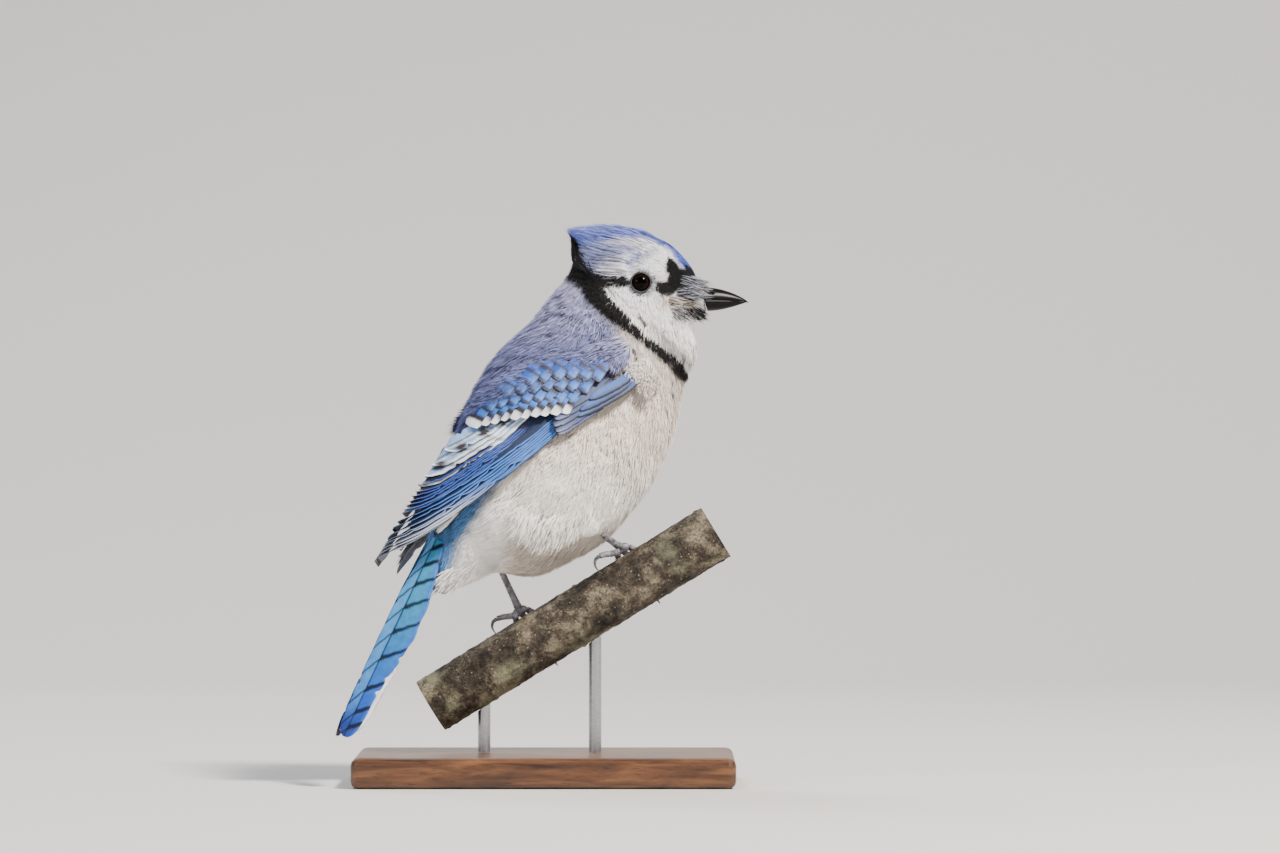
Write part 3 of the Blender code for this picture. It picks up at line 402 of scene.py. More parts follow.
FACE_MARK = [
    (17.8, 209.1), (25.3, 209.5), (31.6, 211.5), (42.3, 213.5), (49.8, 210.7), (61.3, 196.9),
    (70.0, 192.5), (68.4, 179.1), (64.4, 162.5), (58.1, 156.9), (51.4, 167.2), (40.3, 175.5),
    (32.4, 184.6), (24.1, 190.5), (21.3, 195.3), (20.6, 202.0),
]
MANTLE_MARK = [
    (-5.9, 206.0), (13.4, 196.5), (21.3, 185.8), (26.1, 181.8), (28.9, 177.5), (29.6, 172.0),
    (31.2, 167.2), (26.5, 160.9), (11.9, 151.4), (-5.9, 135.6), (-15.8, 123.7), (-17.8, 119.8),
    (-21.0, 114.2), (-24.9, 109.1), (-27.3, 104.0), (-30.4, 99.2), (-33.6, 95.3), (-35.6, 87.4),
    (-38.7, 80.2), (-41.5, 73.5), (-73.1, 64.4), (-73.1, 190.9),
]
NOSE_MARK = [
    (54.2, 203.2), (60.1, 199.6), (62.5, 196.5), (60.9, 192.1), (54.9, 192.1), (51.0, 194.5), (52.4, 198.8),
]
CHIN_MARK = [
    (52.5, 188.6), (57.3, 189.6), (64.0, 187.5), (61.0, 183.6), (56.5, 183.4), (53.0, 185.6),
]
# Grey-blue side of the head between the crest and the eye stripe
TEMPLE_MARK = [
    (17.8, 209.9), (26.5, 211.5), (37.6, 212.3), (43.5, 210.7), (37.6, 206.0), (30.4, 200.8), (21.7, 197.6),
    (18.6, 202.8),
]
# Belly in the shade of the flank feathers that hang over it
SHADE_MARK = [
    (-13.8, 92.0), (-9.1, 99.0), (0.0, 92.0), (17.8, 98.5),
    (30.0, 102.5), (24.0, 88.0), (4.7, 78.0), (-16.2, 76.0),
]
GAPE_MARK = [
    (43.5, 192.1), (50.6, 192.1), (52.6, 188.6), (47.0, 187.4),
]

CREST = linear("#4053A8")
# Painted highlight: a paler blue for the top of the crest, where the light falls on it
CREST_HIGHLIGHT = linear("#8894D4")
TEMPLE = linear("#656E9C")
BLACK = linear("#050508")
FACE = linear("#E8E9EF")
FACE_GREY = linear("#A4A8B6")
THROAT = linear("#EDECEC")
GAPE = linear("#C9B9A6")
MANTLE = linear("#6A6F9A")
MANTLE_PALE = linear("#A3A4C8")
MANTLE_DARK = linear("#4A5083")
RUMP = linear("#5C8FC6")
BREAST_TOP = linear("#D6CCC6")
BREAST = linear("#E9DFD5")
BELLY = linear("#F4EFE9")
SHADED = linear("#C4B9AD")
VENT = linear("#F8F6F3")

# Outline, softness of its edge in mm and strength of each black mark; black feathers lie over the first four
BLACK_MARKS = (
    (LORE_MARK, 0.7, 1.0), (BROW_MARK, 0.7, 1.0), (STRIPE_MARK, 0.5, 1.0), (NAPE_MARK, 0.8, 1.0),
    (NOSE_MARK, 0.9, 1.0), (CHIN_MARK, 2.4, 0.7),
)
BAND_MARKS = BLACK_MARKS[:4]
BAND_EDGE = 0.5  # mm over which the black feathers thin out at the edge of a mark


def body_marks(s, angle):
    """Colour of skin and coat. Both sides are marked alike."""
    x, z = side_view(s, angle)
    colour = BREAST_TOP + (BREAST - BREAST_TOP) * fade(-z, -160, -142)
    colour = colour + (BELLY - colour) * fade(-z, -138, -112)
    colour = colour + (VENT - colour) * fade(-x, 8, 24)
    colour = colour + (SHADED - colour) * 0.85 * cover(SHADE_MARK, x, z, 3.0)
    mantle = MANTLE + (MANTLE_PALE - MANTLE) * fade(z, 172, 196)
    mantle = mantle + (MANTLE_DARK - mantle) * 0.8 * fade(-x + 0.2 * (150 - z), 14, 34)
    mantle = mantle + (RUMP - mantle) * fade(-z, -122, -108)
    colour = colour + (mantle - colour) * cover(MANTLE_MARK, x, z, 2.2)
    face = FACE + (FACE_GREY - FACE) * 0.7 * fade(-x, -34, -22) * fade(z, 200, 206)
    face = face + (THROAT - face) * fade(-z, -192, -186)
    colour = colour + (face - colour) * cover(FACE_MARK, x, z, 1.0)
    colour = colour + (GAPE - colour) * 0.8 * cover(GAPE_MARK, x, z, 1.5)
    # Painted highlight: the top of the crest is paler, where the light falls on it
    crest = CREST + (CREST_HIGHLIGHT - CREST) * 0.55 * fade(z - 0.4 * np.abs(x - 30), 206, 216)
    colour = colour + (crest - colour) * cover(CREST_MARK, x, z, 1.2)
    colour = colour + (TEMPLE - colour) * 0.9 * cover(TEMPLE_MARK, x, z, 2.4)
    for mark, soft, share in BLACK_MARKS:
        colour = colour + (BLACK - colour) * share * cover(mark, x, z, soft)
    return colour


def body_patch(s, angle):
    """Place on the unwrapped skin: stations one way, the turn round the body the other."""
    return np.stack([s / LAST, (angle / (2 * np.pi)) % 1.0], -1)


# Skin

SKIN_SIDES = 96
THIGH_RINGS = 16
THIGH_SIDES = 24
# Painted shade: the skin's colours are darkened because it lies in shadow under the coat
SKIN_PAINTED_SHADE = 0.55


def build_skin():
    """Body and thighs under the coat, in the coat's own colours darkened as painted shade for the shadow
    under the coat.
    """
    s = np.linspace(0, LAST, 6 * LAST + 1)
    angle = 2 * np.pi * np.arange(SKIN_SIDES) / SKIN_SIDES
    grid_s, grid_a = np.meshgrid(s, angle, indexing="ij")
    bodies = [(body_surface(grid_s, grid_a).reshape(-1, 3), ring_tris(len(s), SKIN_SIDES))]
    tints = [body_marks(grid_s.ravel(), grid_a.ravel()) * SKIN_PAINTED_SHADE]
    share = np.linspace(0, 1, THIGH_RINGS)
    turn = 2 * np.pi * np.arange(THIGH_SIDES) / THIGH_SIDES
    grid_t, grid_r = np.meshgrid(share, turn, indexing="ij")
    for foot in THIGHS:
        points = thigh_surface(foot)(grid_t, grid_r).reshape(-1, 3)
        bodies.append((points, ring_tris(THIGH_RINGS, THIGH_SIDES)))
        tints.append(np.tile(VENT * SKIN_PAINTED_SHADE, (len(points), 1)))
    verts, tris = joined(bodies)
    dress(
        mesh_object("skin", verts, tris, np.concatenate(tints)), skin_material(), "body_feathers",
        "head", "neck", "torso", "vent", "thigh_left", "thigh_right",
    )


# Legs and feet, from the same values as the solids

BRANCH_RADIUS = 11.3 * MM
BRANCH_X = -17.8 * MM
BRANCH_Z = 47.1 * MM
BRANCH_SLOPE = math.radians(31.4)
BRANCH_START = -32 * MM
BRANCH_END = 100 * MM
CLEAR = 0.3 * MM
FOOT_ALONG = {"right": 65.0 * MM, "left": 17.6 * MM}
FOOT_BALL = 2.2 * MM
ANKLE = {"right": (13.0, -17.0, 105.0), "left": (-22.5, 2.0, 95.0)}
THIGHS = ("right", "left")
THIGH_LENGTH = 22 * MM
THIGH_RADIUS = 6.0 * MM
THIGH_COAT = 1.6 * MM  # depth of the feathers at the thigh's sides
THIGH_COAT_END = 1.0 * MM
# Start and end angle round the branch in degrees, spread in mm at both, radius in mm, claw's turn in degrees
TOES = {
    "inner": (17, 96, 3.0, 7.5, 1.15, 48),
    "middle": (17, 118, 0.0, 1.0, 1.25, 50),
    "outer": (17, 102, -3.0, -6.5, 1.15, 46),
}
# Hind toe and its claw: mm along the branch, degrees round it and mm from its middle
HIND_TOE = [(-1.5, -20, 14.0), (-4.4, -19, 15.0), (-6.9, -20, 16.3), (-9.0, -21, 17.0)]
HIND_CLAW = [
    (-9.4, -21.3, 17.1), (-11.2, -24, 17.0), (-12.4, -28, 15.9), (-12.6, -33, 14.4), (-11.9, -40, 12.4),
]
GRIP = BRANCH_RADIUS + CLEAR
BARE_FROM = 0.3  # share of the leg from ankle to foot that is feathered
SHANK_RADIUS = 1.45  # mm
SHANK_SHAPE = [1.25, 1.0, 0.92, 0.92, 1.0, 1.25]  # thickness from ankle to foot, as a share of that radius
PAD_REACH = 3.2  # mm either way along the branch
PAD_RADIUS = 2.05 * MM
# mm from one scute to the next, and how far each stands over the next, as a share of the radius
SHANK_SCUTES = (1.5, 0.14)
TOE_SCUTES = (1.3, 0.13)
TOE_ARC = 12.5  # mm from the middle of the branch to the middle of a toe
HIND_TOE_LENGTH = 8.5  # mm
CLAW_RADIUS = 0.85 * MM


def branch_point(along, angle, radius):
    """Points by metres along the branch, angle round it from its top and distance from its middle."""
    direction = np.array([math.cos(BRANCH_SLOPE), 0.0, math.sin(BRANCH_SLOPE)])
    top = np.array([-math.sin(BRANCH_SLOPE), 0.0, math.cos(BRANCH_SLOPE)])
    away = np.array([0.0, 1.0, 0.0])
    start = np.array([BRANCH_X, 0.0, BRANCH_Z])
    along, angle, radius = (np.asarray(value, dtype=float)[..., None] for value in (along, angle, radius))
    return start + direction * along + radius * (np.cos(angle) * top + np.sin(angle) * away)


def foot_ball(foot):
    return branch_point(FOOT_ALONG[foot], 0.0, GRIP + FOOT_BALL)


def thigh_surface(foot):
    """The feathered end of the leg, by share of its length and turn round it."""
    centre = np.array(ANKLE[foot]) * MM
    axis = foot_ball(foot) - centre
    axis /= np.linalg.norm(axis)
    side = np.cross(axis, (0.0, 1.0, 0.0))
    side /= np.linalg.norm(side)
    other = np.cross(axis, side)

    def surface(t, turn, lift=0.0):
        t = np.clip(t, 0.02, 0.98)
        wide = (THIGH_RADIUS - THIGH_COAT + lift) * np.sin(np.pi * t)
        long = -(0.5 * THIGH_LENGTH - THIGH_COAT_END + lift) * np.cos(np.pi * t)
        along = centre + long[..., None] * axis
        return along + (wide * np.cos(turn))[..., None] * side + (wide * np.sin(turn))[..., None] * other

    return surface


def scutes(radii, length, pitch, depth):
    """Radii with the steps of overlapping scutes along a leg or toe, its length and their pitch in mm."""
    phase = (np.arange(len(radii)) * length / len(radii) / pitch) % 1.0
    return radii * (1 + depth * (0.5 - phase))


def build_feet():
    leather, horn = scale_material(), claw_material()
    for foot, at in FOOT_ALONG.items():
        ankle = np.array(ANKLE[foot]) * MM
        ball = foot_ball(foot)
        share = np.linspace(BARE_FROM, 1, 90)[:, None]
        length = np.linalg.norm(ball - ankle) * (1 - BARE_FROM) / MM
        radii = np.interp(share[:, 0], np.linspace(0, 1, 6), SHANK_SHAPE) * SHANK_RADIUS * MM
        leg = tube(ankle + (ball - ankle) * share, scutes(radii, length, *SHANK_SCUTES), 16, 0.86)
        pad = tube(
            branch_point(at + np.linspace(-PAD_REACH, PAD_REACH, 14) * MM, 0.0, GRIP + 2.1 * MM),
            PAD_RADIUS * np.sqrt(np.clip(1 - np.linspace(-1, 1, 14) ** 2, 0.03, 1)), 14, 0.9,
        )
        verts, tris = joined([leg, pad])
        dress(mesh_object(f"shank_{foot}", verts, tris), leather, "leg_scales", f"leg_{foot}")
        for label, (start, end, spread_start, spread_end, radius, turn) in TOES.items():
            share = np.linspace(0, 1, 60)
            angles = np.radians(start + (end - start) * share)
            radii = radius * MM * (1 - 0.2 * share)
            knuckles = 1 + 0.10 * np.cos(2 * np.pi * share * 3) ** 4
            spread = spread_start + (spread_end - spread_start) * share
            path = branch_point(at + spread * MM, angles, GRIP + radii)
            length = (end - start) * math.pi / 180 * TOE_ARC
            verts, tris = tube(path, scutes(radii * knuckles, length, *TOE_SCUTES), 14)
            skin = mesh_object(f"toe_skin_{foot}_{label}", verts, tris)
            dress(skin, leather, "leg_scales", f"toe_{foot}_{label}")
            share = np.linspace(0, 1, 18)
            begin = end + math.degrees(1.2 * CLEAR / BRANCH_RADIUS)
            angles = begin + turn * share
            slant = (spread_end - spread_start) / (end - start)
            reach = GRIP + 0.9 * radius * MM + 1.3 * MM * np.sin(0.94 * np.pi * share) ** 2
            spread = spread_end + slant * (angles - end)
            path = branch_point(at + spread * MM, np.radians(angles), reach)
            verts, tris = tube(path, CLAW_RADIUS * (1 - 0.86 * share), 12, 0.8)
            claw = mesh_object(f"claw_horn_{foot}_{label}", verts, tris)
            dress(claw, horn, "claw", f"claw_{foot}_{label}")
        for label, rows, thick, thin, material, slot in (
            ("toe_skin", HIND_TOE, 1.35, 1.08, leather, "leg_scales"),
            ("claw_horn", HIND_CLAW, 0.85, 0.12, horn, "claw"),
        ):
            rows = smooth_rows(rows, 10)
            path = branch_point(at + rows[:, 0] * MM, np.radians(rows[:, 1]), rows[:, 2] * MM)
            radii = np.linspace(thick, thin, len(rows)) * MM
            if label == "toe_skin":
                radii = scutes(radii, HIND_TOE_LENGTH, *TOE_SCUTES)
            verts, tris = tube(path, radii, 14)
            node = label.split("_")[0]
            dress(mesh_object(f"{label}_{foot}_hind", verts, tris), material, slot, f"{node}_{foot}_hind")


# Eyes

EYE_RADIUS = 4.2 * MM
EYE_X = 37.9 * MM
EYE_Z = 197.7 * MM
EYE_SINK = 2.6 * MM
LID_RING = 3.98  # mm from the middle of the eye to the middle of its lid's margin
LID_THICK = 0.34 * MM
LID_BEADS = 26


def on_rows(rows, x, z, side):
    """The point of a flesh surface that side view shows at x, z, and its outward direction."""
    sag_x = x
    for _ in range(6):
        back = rows[:, [0, 2]]
        line = rows[:, [3, 5]] - back
        to_point = np.array([sag_x, z]) - back
        turn = line[:, 0] * to_point[:, 1] - line[:, 1] * to_point[:, 0]
        crossing = np.nonzero(np.diff(np.sign(turn)))[0]
        index = int(crossing[0]) if len(crossing) else (0 if abs(turn[0]) < abs(turn[-1]) else len(rows) - 2)
        share = np.clip(turn[index] / (turn[index] - turn[index + 1]), 0.0, 1.0)
        row = rows[index] * (1 - share) + rows[index + 1] * share
        step = row[[3, 5]] - row[[0, 2]]
        along = float(np.dot(np.array([sag_x, z]) - row[[0, 2]], step) / np.dot(step, step))
        angle = math.acos(np.clip(1 - 2 * along, -0.97, 0.97))
        width = row[6] * (1 - KEEL * (0.5 - 0.5 * math.cos(angle)) ** 2)
        sag_x = x - math.sin(row[7]) * width * math.sin(angle)
    back, front = row[:3], row[3:6]
    depth = 0.5 * np.linalg.norm(back - front)
    up = (back - front) / (2 * depth)
    right = np.array([math.sin(row[7]), -math.cos(row[7]), 0.0])
    turned = side * angle
    place = 0.5 * (back + front) + math.cos(turned) * depth * up + math.sin(turned) * width * right
    out = math.cos(turned) / depth * up + math.sin(turned) / width * right
    return place, out / np.linalg.norm(out)


def roots_on(rows, x, z, side):
    """Points of a flesh surface that side view shows at x and z in mm, and their outward directions."""
    found = [on_rows(rows, a * MM, b * MM, side) for a, b in zip(x, z)]
    return np.array([place for place, _ in found]), np.array([out for _, out in found])


HEAD_ROWS = BIRD[:NECK_AT * PER_SPAN + 1]
BODY_ROWS = BIRD[NECK_AT * PER_SPAN:]
EYES = {name: on_rows(HEAD_ROWS, EYE_X, EYE_Z, side) for name, side in (("right", 1), ("left", -1))}


def build_eyes():
    glass, margin = eye_material(), lid_material()
    for name, (place, out) in EYES.items():
        facing = Vector(out).to_track_quat("Z", "Y").to_matrix()
        centre = place - EYE_SINK * out
        tilt = np.linspace(0, np.pi, 40)
        turn = 2 * np.pi * np.arange(64) / 64
        grid_t, grid_r = np.meshgrid(tilt, turn, indexing="ij")
        bulge = 1 + 0.03 * np.exp(-(grid_t / 0.5) ** 2)
        off = np.sin(grid_t)
        local = np.stack([off * np.cos(grid_r), off * np.sin(grid_r), np.cos(grid_t) * bulge], -1)
        verts = centre + EYE_RADIUS * (local.reshape(-1, 3) @ np.array(facing).T)
        shade = np.stack([grid_t.ravel() / np.pi] * 3, -1)
        ball = mesh_object(f"eyeball_{name}", verts, ring_tris(40, 64)[:, ::-1], shade)
        dress(ball, glass, "eye", f"eye_{name}")
        turn = 2 * np.pi * np.arange(97) / 96
        local = np.stack([np.cos(turn), np.sin(turn) * 0.97, 0 * turn], -1) * LID_RING * MM
        path = place + 0.12 * MM * out + local @ np.array(facing).T
        beads = LID_THICK * (1 + 0.16 * np.cos(turn * LID_BEADS))
        verts, tris = tube(path, beads, 10, 1.2)
        dress(mesh_object(f"lid_margin_{name}", verts, tris), margin, "head_feathers")


def over_eye(points, place, out):
    """Height of points over an eye, and how far they lie from the line that looks out of it."""
    height = (points - place) @ out
    return height, np.linalg.norm(points - place - height[:, None] * out, axis=1)


# Room kept free round the line that looks out of an eye, for the points of a barb and for its middle,
# from behind the lids to well in front of them
POINT_CLEAR = 4.25 * MM
MIDDLE_CLEAR = 4.2 * MM
BEHIND_LIDS = -4 * MM
IN_FRONT = 8 * MM


def clear_of_eyes(path):
    """Barbs that stay off the eyes and the margins of the lids."""
    kept = np.ones(len(path), dtype=bool)
    for place, out in EYES.values():
        for point in range(3):
            height, away = over_eye(path[:, point], place, out)
            kept &= ~((away < POINT_CLEAR) & (height > BEHIND_LIDS) & (height < IN_FRONT))
        height, away = over_eye(0.5 * (path[:, 0] + path[:, 2]), place, out)
        kept &= ~((away < MIDDLE_CLEAR) & (height > BEHIND_LIDS))
    return kept


# Bill

BILL_TIP_X = 80.6 * MM
MOUTH_BASE_Z = 190.9 * MM
MOUTH_TIP_Z = 190.2 * MM
BILL_HALF_WIDTH = 4.6 * MM
UPPER_HEIGHT = 5.4 * MM
LOWER_HEIGHT = 4.2 * MM
LOWER_LENGTH = 0.94  # share of the upper half's
TIP_HOOK = 0.35  # mm by which the upper half's tip bends down
NOSTRIL_DEPTH = 0.7 * MM
NOSTRIL_RADIUS = 0.9 * MM


def bill_base(z):
    """Where the bill leaves the first station of the face, at a height."""
    top_x, top_z, low_x, low_z = STATIONS[0, :4] * MM
    return top_x + (low_x - top_x) * (top_z - z) / (top_z - low_z) + 1.2 * CLEAR


def bill_half(sign, height, length, hook):
    """One half of the bill: a ridged curve over the mouth line, with a pinched cutting edge."""
    steps, sides = 60, 32
    share = np.linspace(0, 1, steps)
    angle = np.pi * np.linspace(0, 1, sides)
    verts = []
    for t in share:
        mouth = MOUTH_BASE_Z + (MOUTH_TIP_Z - MOUTH_BASE_Z) * (t * length) ** 3 + sign * 0.03 * MM
        drop = hook * MM * max(0.0, (t - 0.86) / 0.14) ** 2
        rise = height * (0.05 + 0.95 * (1 - t ** 1.9))
        wide = BILL_HALF_WIDTH * (0.06 + 0.94 * (1 - t) ** 0.85)
        z = mouth - drop + sign * rise * np.sin(angle) ** 0.9
        x = np.array([bill_base(v) + (BILL_TIP_X - bill_base(v)) * t * length for v in z])
        y = head_y(x) + wide * np.sign(np.cos(angle)) * np.abs(np.cos(angle)) ** 1.15
        verts.append(np.stack([x, y, z], -1))
    tris = ring_tris(steps, sides)
    return np.concatenate(verts), tris if sign < 0 else tris[:, ::-1]


def build_bill():
    horn = bill_material()
    verts, tris = bill_half(1, UPPER_HEIGHT, 1.0, TIP_HOOK)
    nostril_x = bill_base(MOUTH_BASE_Z) + 2.6 * MM
    for side in (-1, 1):
        nostril = np.array([nostril_x, head_y(65 * MM) + side * 3.3 * MM, MOUTH_BASE_Z + 2.9 * MM])
        away = np.linalg.norm((verts - nostril) * (1, 1, 2), axis=1)
        verts[:, 1] -= side * NOSTRIL_DEPTH * np.exp(-(away / NOSTRIL_RADIUS) ** 2)
    dress(mesh_object("bill_upper_horn", verts, tris), horn, "bill", "bill_upper")
    verts, tris = bill_half(-1, LOWER_HEIGHT, LOWER_LENGTH, 0.0)
    dress(mesh_object("bill_lower_horn", verts, tris), horn, "bill", "bill_lower")


# Vanes: stiff feathers as closed slabs of a grid of points


def slab_tris(rows, cols):
    size = rows * cols
    tris = []
    for row in range(rows - 1):
        for col in range(cols - 1):
            a = row * cols + col
            b = size + a
            tris += [(a, a + cols, a + cols + 1), (a, a + cols + 1, a + 1)]
            tris += [(b, b + cols + 1, b + cols), (b, b + 1, b + cols + 1)]
    rim = list(range(cols)) + [row * cols + cols - 1 for row in range(1, rows)]
    rim += [(rows - 1) * cols + col for col in reversed(range(cols - 1))]
    rim += [row * cols for row in reversed(range(1, rows - 1))]
    for start, end in zip(rim, rim[1:] + rim[:1]):
        tris += [(start, end, size + end), (start, size + end, size + start)]
    return np.array(tris)


SLABS = {}
ACROSS = np.array([-1.0, -0.93, -0.85, -0.76, -0.64, -0.45, -0.2, 0.0, 0.2, 0.45, 0.7, 0.86, 1.0])
VANE_SHEET = 0.2 * MM


def vane_profile(share, tip, sharp=0.5):
    """Width of a vane at a share of its length, from a rounded tip (0.5) to a pointed one (1)."""
    end = np.clip((share - (1 - tip)) / tip, 0, 1)
    return np.minimum(1.0, 0.42 + 2.0 * share) * np.clip(1 - 0.985 * end ** 2.2, 0, 1) ** sharp


def frayed(rng, share, width):
    """The width with small waves and a few splits between barbs."""
    ragged = 1 + 0.03 * np.sin(share * rng.uniform(40, 70) + rng.uniform(0, 6))
    for _ in range(rng.integers(1, 4)):
        ragged -= rng.uniform(0.1, 0.28) * np.exp(-((share - rng.uniform(0.3, 0.95)) / 0.012) ** 2)
    return width * ragged


class VaneSet:
    """Collects vanes, and lays each out in its own cell of the bake map."""

    def __init__(self, cells):
        self.cells = cells
        self.parts = []

    def add(self, points, out, colour, across_mm, along_mm):
        rows, cols = points.shape[:2]
        if (rows, cols) not in SLABS:
            SLABS[rows, cols] = slab_tris(rows, cols)
        number = len(self.parts)
        wide = int(math.ceil(math.sqrt(self.cells)))
        corner = np.array([number % wide, number // wide], dtype=float)
        u, v = np.meshgrid(np.linspace(0, 1, cols), np.linspace(0, 1, rows))
        # The upper face takes the left half of the cell and the lower face its right half
        bake = [np.stack([corner[0] + 0.04 + 0.44 * u + 0.48 * face, corner[1] + 0.03 + 0.94 * v], -1) / wide
                for face in (0, 1)]
        sheet = np.stack([across_mm, along_mm], -1).reshape(-1, 2)
        verts = np.concatenate([points.reshape(-1, 3), (points - out * VANE_SHEET).reshape(-1, 3)])
        under = colour * 0.35 + 0.10
        self.parts.append((
            verts, SLABS[rows, cols], np.concatenate([colour.reshape(-1, 3), under.reshape(-1, 3)]),
            np.concatenate([bake[0].reshape(-1, 2), bake[1].reshape(-1, 2)]), np.concatenate([sheet, sheet]),
        ))

    def build(self, name):
        verts, tris = joined([(part[0], part[1]) for part in self.parts])
        colours = np.clip(np.concatenate([part[2] for part in self.parts]), 0, 1)
        bake = np.concatenate([part[3] for part in self.parts])
        sheet = np.concatenate([part[4] for part in self.parts])
        return mesh_object(name, verts, tris, colours, {"OFBake": bake, "Vane": sheet})


# Wings

WING_TIP_BED = [
    (-38.7, 135.6, 15.8, 96.1, 31.0),
    (-44.3, 124.5, -2.0, 89.7, 26.0),
    (-50.2, 113.1, -21.7, 85.8, 20.5),
    (-56.5, 101.2, -39.5, 83.0, 15.0),
    (-62.1, 90.1, -54.2, 80.2, 11.0),
    (-67.6, 82.2, -63.2, 75.5, 8.5),
]
BEND = np.array([43.5, 163.3])
WING_TIP = np.array([-64.4, 87.4])
WING_RUN = (WING_TIP - BEND) / np.linalg.norm(WING_TIP - BEND)
WING_LENGTH = 132.0
FAR_WING_SHARE = 0.86  # depth of the far wing as a share of the near one's
FAR_WING_DROP = 5.5  # mm by which it lies lower
FAR_WING_SAG = 4.5  # mm by which its tip hangs lower still
BED_ALONG = np.linspace(-12, 138, 76)
BED_UP = np.linspace(-14, 34, 25)


def wing_bed(side):
    """Points and outward directions of the bed under a wing, by mm along it and up from its lower line."""
    front = STATIONS[NECK_AT:NECK_AT + 6].copy()
    front[2:, 4] += 0.6
    stations = np.vstack([front, WING_TIP_BED])
    rows = flesh_rows(stations, [BODY_TURN] * len(stations), [body_y] * len(stations), 6)
    rise = np.array([WING_RUN[1], -WING_RUN[0]])
    points = np.empty((len(BED_ALONG), len(BED_UP), 3))
    outs = np.empty_like(points)
    for i, along in enumerate(BED_ALONG):
        for j, up in enumerate(BED_UP):
            x, z = (BEND + along * WING_RUN + up * rise) * MM
            points[i, j], outs[i, j] = on_rows(rows, x, z, side)
    return points, outs


def wing_stretch(share):
    """Length of a wing as a share of the near one's, where share is that of its depth."""
    return 0.5 + 0.5 * share


def bed_point(bed, along, up, lift):
    """Places over the bed, with their outward directions."""
    i = np.clip((along - BED_ALONG[0]) / (BED_ALONG[1] - BED_ALONG[0]), 0, len(BED_ALONG) - 1.001)
    j = np.clip((up - BED_UP[0]) / (BED_UP[1] - BED_UP[0]), 0, len(BED_UP) - 1.001)
    i0, j0 = i.astype(int), j.astype(int)
    fi, fj = (i - i0)[..., None], (j - j0)[..., None]
    found = []
    for grid in bed:
        found.append((grid[i0, j0] * (1 - fi) + grid[i0 + 1, j0] * fi) * (1 - fj)
                     + (grid[i0, j0 + 1] * (1 - fi) + grid[i0 + 1, j0 + 1] * fi) * fj)
    out = found[1] / np.linalg.norm(found[1], axis=-1)[..., None]
    return found[0] + lift[..., None] * MM * out, out


BLUE = linear("#3F78D4")
BLUE_VIOLET = linear("#4555AC")
BLUE_SKY = linear("#86B6EA")
BLUE_DEEP = linear("#27459A")
WING_WHITE = linear("#F6F8FC")
WING_GREY = linear("#B4BECD")
SLATE = linear("#4B577A")
INK = linear("#14161F")
UMBER = linear("#37343A")


def mix(first, second, amount):
    return first + (second - first) * np.clip(amount, 0, 1)[..., None]


def barred(position, places, half, soft=0.25):
    """How much of a bar lies at a position in mm."""
    shown = np.zeros_like(position)
    for place in places:
        shown = np.maximum(shown, np.clip((half - np.abs(position - place)) / soft + 0.5, 0, 1))
    return shown


# Dark patches where the tertials meet the secondaries, as (along, up) in mm
PATCHES = ((59.4, 16.4), (68.1, 16.5), (78.9, 15.9), (89.7, 14.3), (100.6, 11.4), (107.7, 9.2))


def mottled(along, up):
    """How much of a dark patch lies at a place on the wing, with a broken edge."""
    shown = np.zeros_like(along)
    for a, b in PATCHES:
        shown = np.maximum(shown, 1.7 - ((along - a) / 2.7) ** 2 - ((up - b) / 1.7) ** 2)
    grain = 0.5 * np.sin(along * 5.1 + up * 3.7) * np.sin(up * 6.3 - along * 2.2)
    return np.clip(shown + grain - 0.3, 0, 1)


def plain(colour, shape):
    return np.broadcast_to(colour, shape + (3,))


# Each colour function below takes a vane's place in its tier (0 to 1), and for each point the share of the
# vane's length, the share of its half width from the lower edge (-1) to the upper one (1), the mm along the
# wing and up from its lower line, and last the vane's length in mm.


def primary_colour(t, share, c, along, up, length):
    """Bright blue outer webs, paler at the edge, grey-white on the lowest ones towards their tips."""
    colour = mix(plain(BLUE, c.shape), BLUE_SKY, 0.6 * np.clip((-0.96 - c) / 0.03, 0, 1))
    pale = np.clip((along - 74 - 6 * t) / 24, 0, 1) * np.clip(1.25 - 1.7 * t, 0, 1)
    colour = mix(colour, WING_GREY, 0.92 * pale)
    colour = mix(colour, WING_WHITE, 0.55 * pale * (c < -0.86))
    past_others = np.clip((share - 0.8) / 0.12, 0, 1) * (t < 0.4)
    colour = mix(colour, WING_GREY, 0.5 * past_others)
    colour = mix(colour, INK, (0.92 - 0.5 * past_others) * np.clip((c + 0.86 - 0.1 * pale) / 0.05, 0, 1))
    if t < 0.05:
        colour = mix(colour, INK, 0.9 * np.clip((-0.8 - c) / 0.08, 0, 1))
    return mix(colour, INK, 0.55 * np.clip((share - 0.965) / 0.03, 0, 1))


def secondary_colour(t, share, c, along, up, length):
    """Blue-violet webs with fine bars, a row of dark patches above, and white tips."""
    colour = mix(plain(BLUE_VIOLET, c.shape), BLUE, 0.7 * np.clip((-0.84 - c) / 0.06, 0, 1))
    colour = mix(colour, INK, 0.9 * np.clip((c + 0.86) / 0.08, 0, 1))
    colour = mix(colour, INK, 0.35 * barred((1 - share) * length + 2.5 * c, np.arange(4, 90, 3.1), 0.35))
    colour = mix(colour, INK, 0.8 * np.clip((-0.95 - c) / 0.02, 0, 1))
    colour = mix(colour, BLUE_SKY, 0.5 * np.clip((up - 13.6) / 1.2, 0, 1))
    colour = mix(colour, UMBER, mottled(along, up))
    return mix(colour, WING_WHITE, np.clip((share - 0.955) / 0.02, 0, 1) * 0.9)


# Black spots along the top tertial, and its lower edge, in mm along the wing and up
TERTIAL_SPOTS = (70.5, 79.5, 90.0, 100.0, 109.0)
TOP_TERTIAL_ALONG = (76, 92, 110, 122)
TOP_TERTIAL_UP = (21.5, 16.5, 7.8, 1.5)


